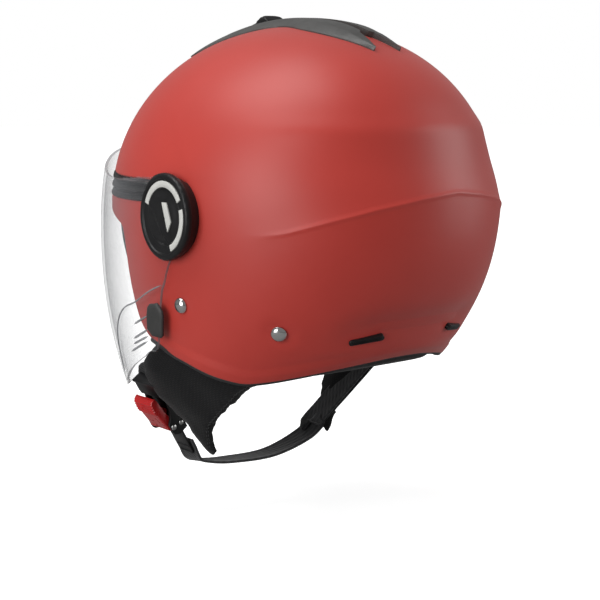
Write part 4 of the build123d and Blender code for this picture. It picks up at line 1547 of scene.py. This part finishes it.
def cheek_shape(outline, x_low, x_high):
    """A side plate from an outline in the buckle's y and z."""
    n = len(outline)
    points = [Vector((x, y, z)) for x in (x_low, x_high) for y, z in outline]
    faces = [(i, (i + 1) % n, n + (i + 1) % n, n + i) for i in range(n)]
    return points, faces + [tuple(range(n)), tuple(range(n, 2 * n))]


def pin_shape(radius, low, high, y, z, steps=28):
    points = [Vector((x, y + radius * cos(2 * pi * k / steps), z + radius * sin(2 * pi * k / steps)))
              for x in (low, high) for k in range(steps)]
    faces = [(k, (k + 1) % steps, steps + (k + 1) % steps, steps + k) for k in range(steps)]
    return points, faces + [tuple(range(steps)), tuple(range(steps, 2 * steps))]


base_outline = [(-10, 19), (10, 19), (12, 17), (12, -19), (10, -21), (-10, -21), (-12, -19), (-12, 17)]
side_outline = [(-23, -4.2), (-23.6, 3.5), (-21.2, 7.4), (-18.8, 8.4), (-11.4, 8.4), (-8.4, 5.5),
                (-4, 3.0), (8, 1.0), (16, 0.4), (16, -4)]
lid_outline = [(-11.2, 9.0), (11.2, 9.0), (12.2, 12), (12.2, 20), (11.0, 22.4), (-11.0, 22.4), (-12.2, 20),
               (-12.2, 12)]
frame_shapes = [plate_shape(base_outline, -4.4, -2.2), cheek_shape(side_outline, 9.8, 12.0),
                cheek_shape(side_outline, -12.0, -9.8), plate_shape(lid_outline, 1.6, 3.4),
                plate_shape([(-12.2, 20.6), (12.2, 20.6), (12.2, 22.6), (-12.2, 22.6)], -4.2, 4.6)]
buckle_body = make_piece("buckle_body", *joined(*frame_shapes), BLACK, "root", "black_plastic",
                         ["buckle_frame"])
buckle_body.data.transform(BUCKLE_SEAT.to_3x3().to_4x4())
buckle_body.data.transform(Matrix.Translation(BUCKLE_ORIGIN * MM))
bevelled(buckle_body, 0.45, 3)


def build_lever():
    """The red release lever: ribbed thumb pad above, smooth shield below, in the buckle's frame."""
    top = curve_points([(12.4, 8.2, 0), (12.2, 10.6, 0), (9.8, 12.2, 0), (2.5, 12.6, 0), (-8, 11.2, 0),
                        (-16.5, 9.4, 0), (-19.6, 7.2, 0)], 26)
    low = curve_points([(12.4, 8.2, 0), (10, 6.8, 0), (3, 5.8, 0), (-2, 5.2, 0), (-8, 3.8, 0), (-15, 3.4, 0),
                        (-19.6, 7.2, 0)], 26)
    top, low = even(top, 120), even(low, 120)
    points = []
    xs = [-9.4, -9.3, -8.9, -8.2, -5.5, -2.7, 0, 2.7, 5.5, 8.2, 8.9, 9.3, 9.4]
    drop = [1.0, 0.55, 0.15, 0, 0, 0, 0, 0, 0, 0, 0.15, 0.55, 1.0]
    for a, b in zip(top, low):
        ribs = smooth(0.5, 1.8, a.x) * smooth(12.2, 11.2, a.x)
        wave = 0.8 * ribs * abs(sin(a.x * pi / 2.2))
        shield = 0.7 * smooth(0.6, -0.8, a.x)
        line = []
        for x, d in zip(xs, drop):
            line.append(Vector((x, a.x, a.y + wave - shield - d)))
        for x, d in zip(reversed(xs), reversed(drop)):
            line.append(Vector((x, b.x, min(b.y + d * 0.6, a.y + wave - shield - d - 0.02))))
        points += line
    n = 2 * len(xs)
    faces = grid_faces(len(top), n, closed=True)
    faces += [tuple(range(n)), tuple(range((len(top) - 1) * n, len(top) * n))]
    barrels = [pin_shape(3.4, low_x, high_x, PIN_Y, PIN_Z) for low_x, high_x in ((-9.3, -3.4), (3.4, 9.3))]
    nose = cheek_shape([(-11, 4.5), (-4.6, 1.3), (-3.6, 1.0), (-2.4, 4.2), (-3, 6), (-10, 6)], -5.5, 5.5)
    shapes = joined((points, faces), nose, *barrels)
    lever = make_piece("release_lever", placed(shapes[0], BUCKLE_SEAT), shapes[1], BUCKLE_RED, "buckle_lever",
                       "red_plastic", ["buckle_lever"])
    return crisp(lever, 35)


lever = build_lever()

tongue_outline = [(-7.5, 6.5), (-6, 8), (6, 8), (7.5, 6.5), (7.5, -46.5), (6, -48), (-6, -48), (-7.5, -46.5)]
tongue_shapes = [plate_shape(tongue_outline[:], -1.8, -0.4)]
for k in range(7):
    y = -12 + 3 * k
    tooth = [(y - 0.2, -0.5), (y + 0.2, 0.5), (y + 0.5, 0.5), (y + 2.6, -0.5)]
    tongue_shapes.append(cheek_shape(tooth, -5.8, 5.8))
for y, half in ((-41.5, 6.6), (-47.2, 6.6)):
    tongue_shapes.append(pin_shape(1.05, -half, half, y, -1.1, 16))
tongue = make_piece("buckle_tongue_plate", *joined(*tongue_shapes), DARK_STEEL, "buckle_tongue",
                    "plain_steel", ["buckle_tongue"])
tongue.data.transform(BUCKLE_SEAT.to_3x3().to_4x4())
tongue.data.transform(Matrix.Translation(BUCKLE_ORIGIN * MM))
bevelled(tongue, 0.2, 2)

rivet_line = [(0.0, 1.35), (1.0, 1.28), (1.8, 1.0), (2.35, 0.55), (2.55, 0.1), (2.55, -0.2), (1.4, -0.25),
              (1.4, -4.6), (2.5, -4.65), (2.5, -5.0), (1.8, -5.35), (0.0, -5.5)]
buckle_rivet_shapes = []
for x in (-6, 6):
    points, faces = lathe(rivet_line, 32)
    buckle_rivet_shapes.append(([BUCKLE_SEAT @ (p + Vector((x, 15, 0.1))) for p in points], faces))
crisp(make_piece("buckle_rivet_pair", *joined(*buckle_rivet_shapes), STEEL, "root", "plain_steel",
                 ["buckle_rivets"]), 45)
pin_line = [(0.0, 12.9), (1.6, 12.9), (2.1, 12.6), (2.2, 12.2), (1.5, 12.0), (1.45, 11.9), (1.45, -12.2),
            (1.7, -12.4), (1.7, -12.9), (1.2, -13.1), (0.0, -13.1)]
points, faces = lathe(pin_line, 32)
pin_points = [BUCKLE_SEAT @ Vector((p.z, PIN_Y + p.x, PIN_Z + p.y)) for p in points]
stud_line = [(0.0, 13.0), (1.2, 12.9), (1.9, 12.5), (2.1, 11.9), (2.1, 10.4), (0.0, 10.4)]
stud_points, stud_faces = lathe(stud_line, 28)
stud_points = [BUCKLE_SEAT @ Vector((p.z, PIN_Y - 1.5 + p.x, PIN_Z - 7.0 + p.y)) for p in stud_points]
crisp(make_piece("lever_pin", *joined((pin_points, faces), (stud_points, stud_faces)), STEEL, "root",
                 "plain_steel", ["buckle_pin"]), 45)

# ---------------------------------------------------------------- CAD nodes that stay as they are
KEPT = {"eps_liner": FOAM, "pivot_base_left": BLACK, "pivot_base_right": BLACK, "pivot_screws": STEEL,
        "pivot_nuts": STEEL, "rivet_washers": STEEL, "buckle_spring": STEEL, "sun_visor": SMOKED}
for node, material in KEPT.items():
    kept = frame["nodes"][node]
    kept.data.materials.clear()
    kept.data.materials.append(material)

# ---------------------------------------------------------------- floor, light and camera
FLOOR_SIZE = 12
FLOOR_DROP = 33
FILL_STRENGTH = 0.26
CAMERA_AZIMUTH = 135
CAMERA_TILT = 7.5
CAMERA_DISTANCE = 1.3
CAMERA_SPAN = 0.42
CAMERA_RISE = -66
CAMERA_SHIFT = 0.0008
SENSOR = 36
LIGHT_AIM = (0, 0, 0.1)
# name, place and size in metres, power in watts
SOFTBOXES = [("top_light", (0.5, -0.3, 1.6), (1.1, 1.1), 17),
             ("key_light", (1.9, 0.15, 0.5), (1.2, 1.4), 25),
             ("rear_light", (-1.3, 1.0, 0.3), (0.6, 1.7), 14)]


def stage():
    """A pale floor, low enough for the chin band with its buckle drawn out."""
    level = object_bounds()[0][2] - FLOOR_DROP * MM
    bpy.ops.mesh.primitive_plane_add(size=FLOOR_SIZE, location=(0, 0, level))
    floor = bpy.context.object
    floor.name = "floor"
    n = Nodes("pale_floor")
    seen = n.add("LightPath", {}).outputs["Is Camera Ray"]
    pale = n.blend(n.noise(3.0), rgb(0.90, 0.90, 0.90), rgb(0.92, 0.92, 0.92))
    n.set(Base_Color=n.blend(seen, rgb(0.30, 0.30, 0.30), pale), Roughness=0.9)
    away = n.add("VectorMath", {0: n.place}, operation="LENGTH").outputs["Value"]
    glow = n.math("MULTIPLY", seen, n.ramp(away, 0.3, 2.2, 0.62, 1.0))
    n.set(Emission_Color=rgb(1, 1, 1), Emission_Strength=glow)
    floor.data.materials.append(n.material)
    floor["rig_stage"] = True
    world = bpy.data.worlds.new("studio")
    bpy.context.scene.world = world
    world.use_nodes = True
    links, nodes = world.node_tree.links, world.node_tree.nodes
    back = nodes["Background"]
    back.inputs["Color"].default_value = (1, 1, 1, 1)
    path = nodes.new("ShaderNodeLightPath")
    strength = nodes.new("ShaderNodeMapRange")
    strength.inputs["To Min"].default_value = FILL_STRENGTH
    strength.inputs["To Max"].default_value = 1.0
    links.new(path.outputs["Is Camera Ray"], strength.inputs["Value"])
    links.new(strength.outputs["Result"], back.inputs["Strength"])
    bpy.context.scene.view_settings.view_transform = "Standard"


def softbox(name, place, size, power):
    data = bpy.data.lights.new(name, "AREA")
    data.shape = "RECTANGLE"
    data.size, data.size_y = size
    data.energy = power
    lamp = bpy.data.objects.new(name, data)
    bpy.context.scene.collection.objects.link(lamp)
    lamp.location = place
    lamp.rotation_euler = (Vector(LIGHT_AIM) - Vector(place)).to_track_quat("-Z", "Y").to_euler()


def studio():
    stage()
    view = radians(CAMERA_AZIMUTH)
    tilt = radians(CAMERA_TILT)
    back = Vector((sin(view) * cos(tilt), -cos(view) * cos(tilt), sin(tilt)))
    right = Vector((cos(view), sin(view), 0))
    target = Vector((0, 0, (PIVOT_Z + CAMERA_RISE) * MM)) - right * CAMERA_SHIFT
    data = bpy.data.cameras.new("camera")
    data.sensor_width = SENSOR
    data.lens = SENSOR * CAMERA_DISTANCE / CAMERA_SPAN
    data.clip_end = 50
    camera = bpy.data.objects.new("camera", data)
    bpy.context.scene.collection.objects.link(camera)
    camera.location = target + back * CAMERA_DISTANCE
    camera.rotation_euler = back.to_track_quat("Z", "Y").to_euler()
    bpy.context.scene.camera = camera
    for softbox_values in SOFTBOXES:
        softbox(*softbox_values)


studio()
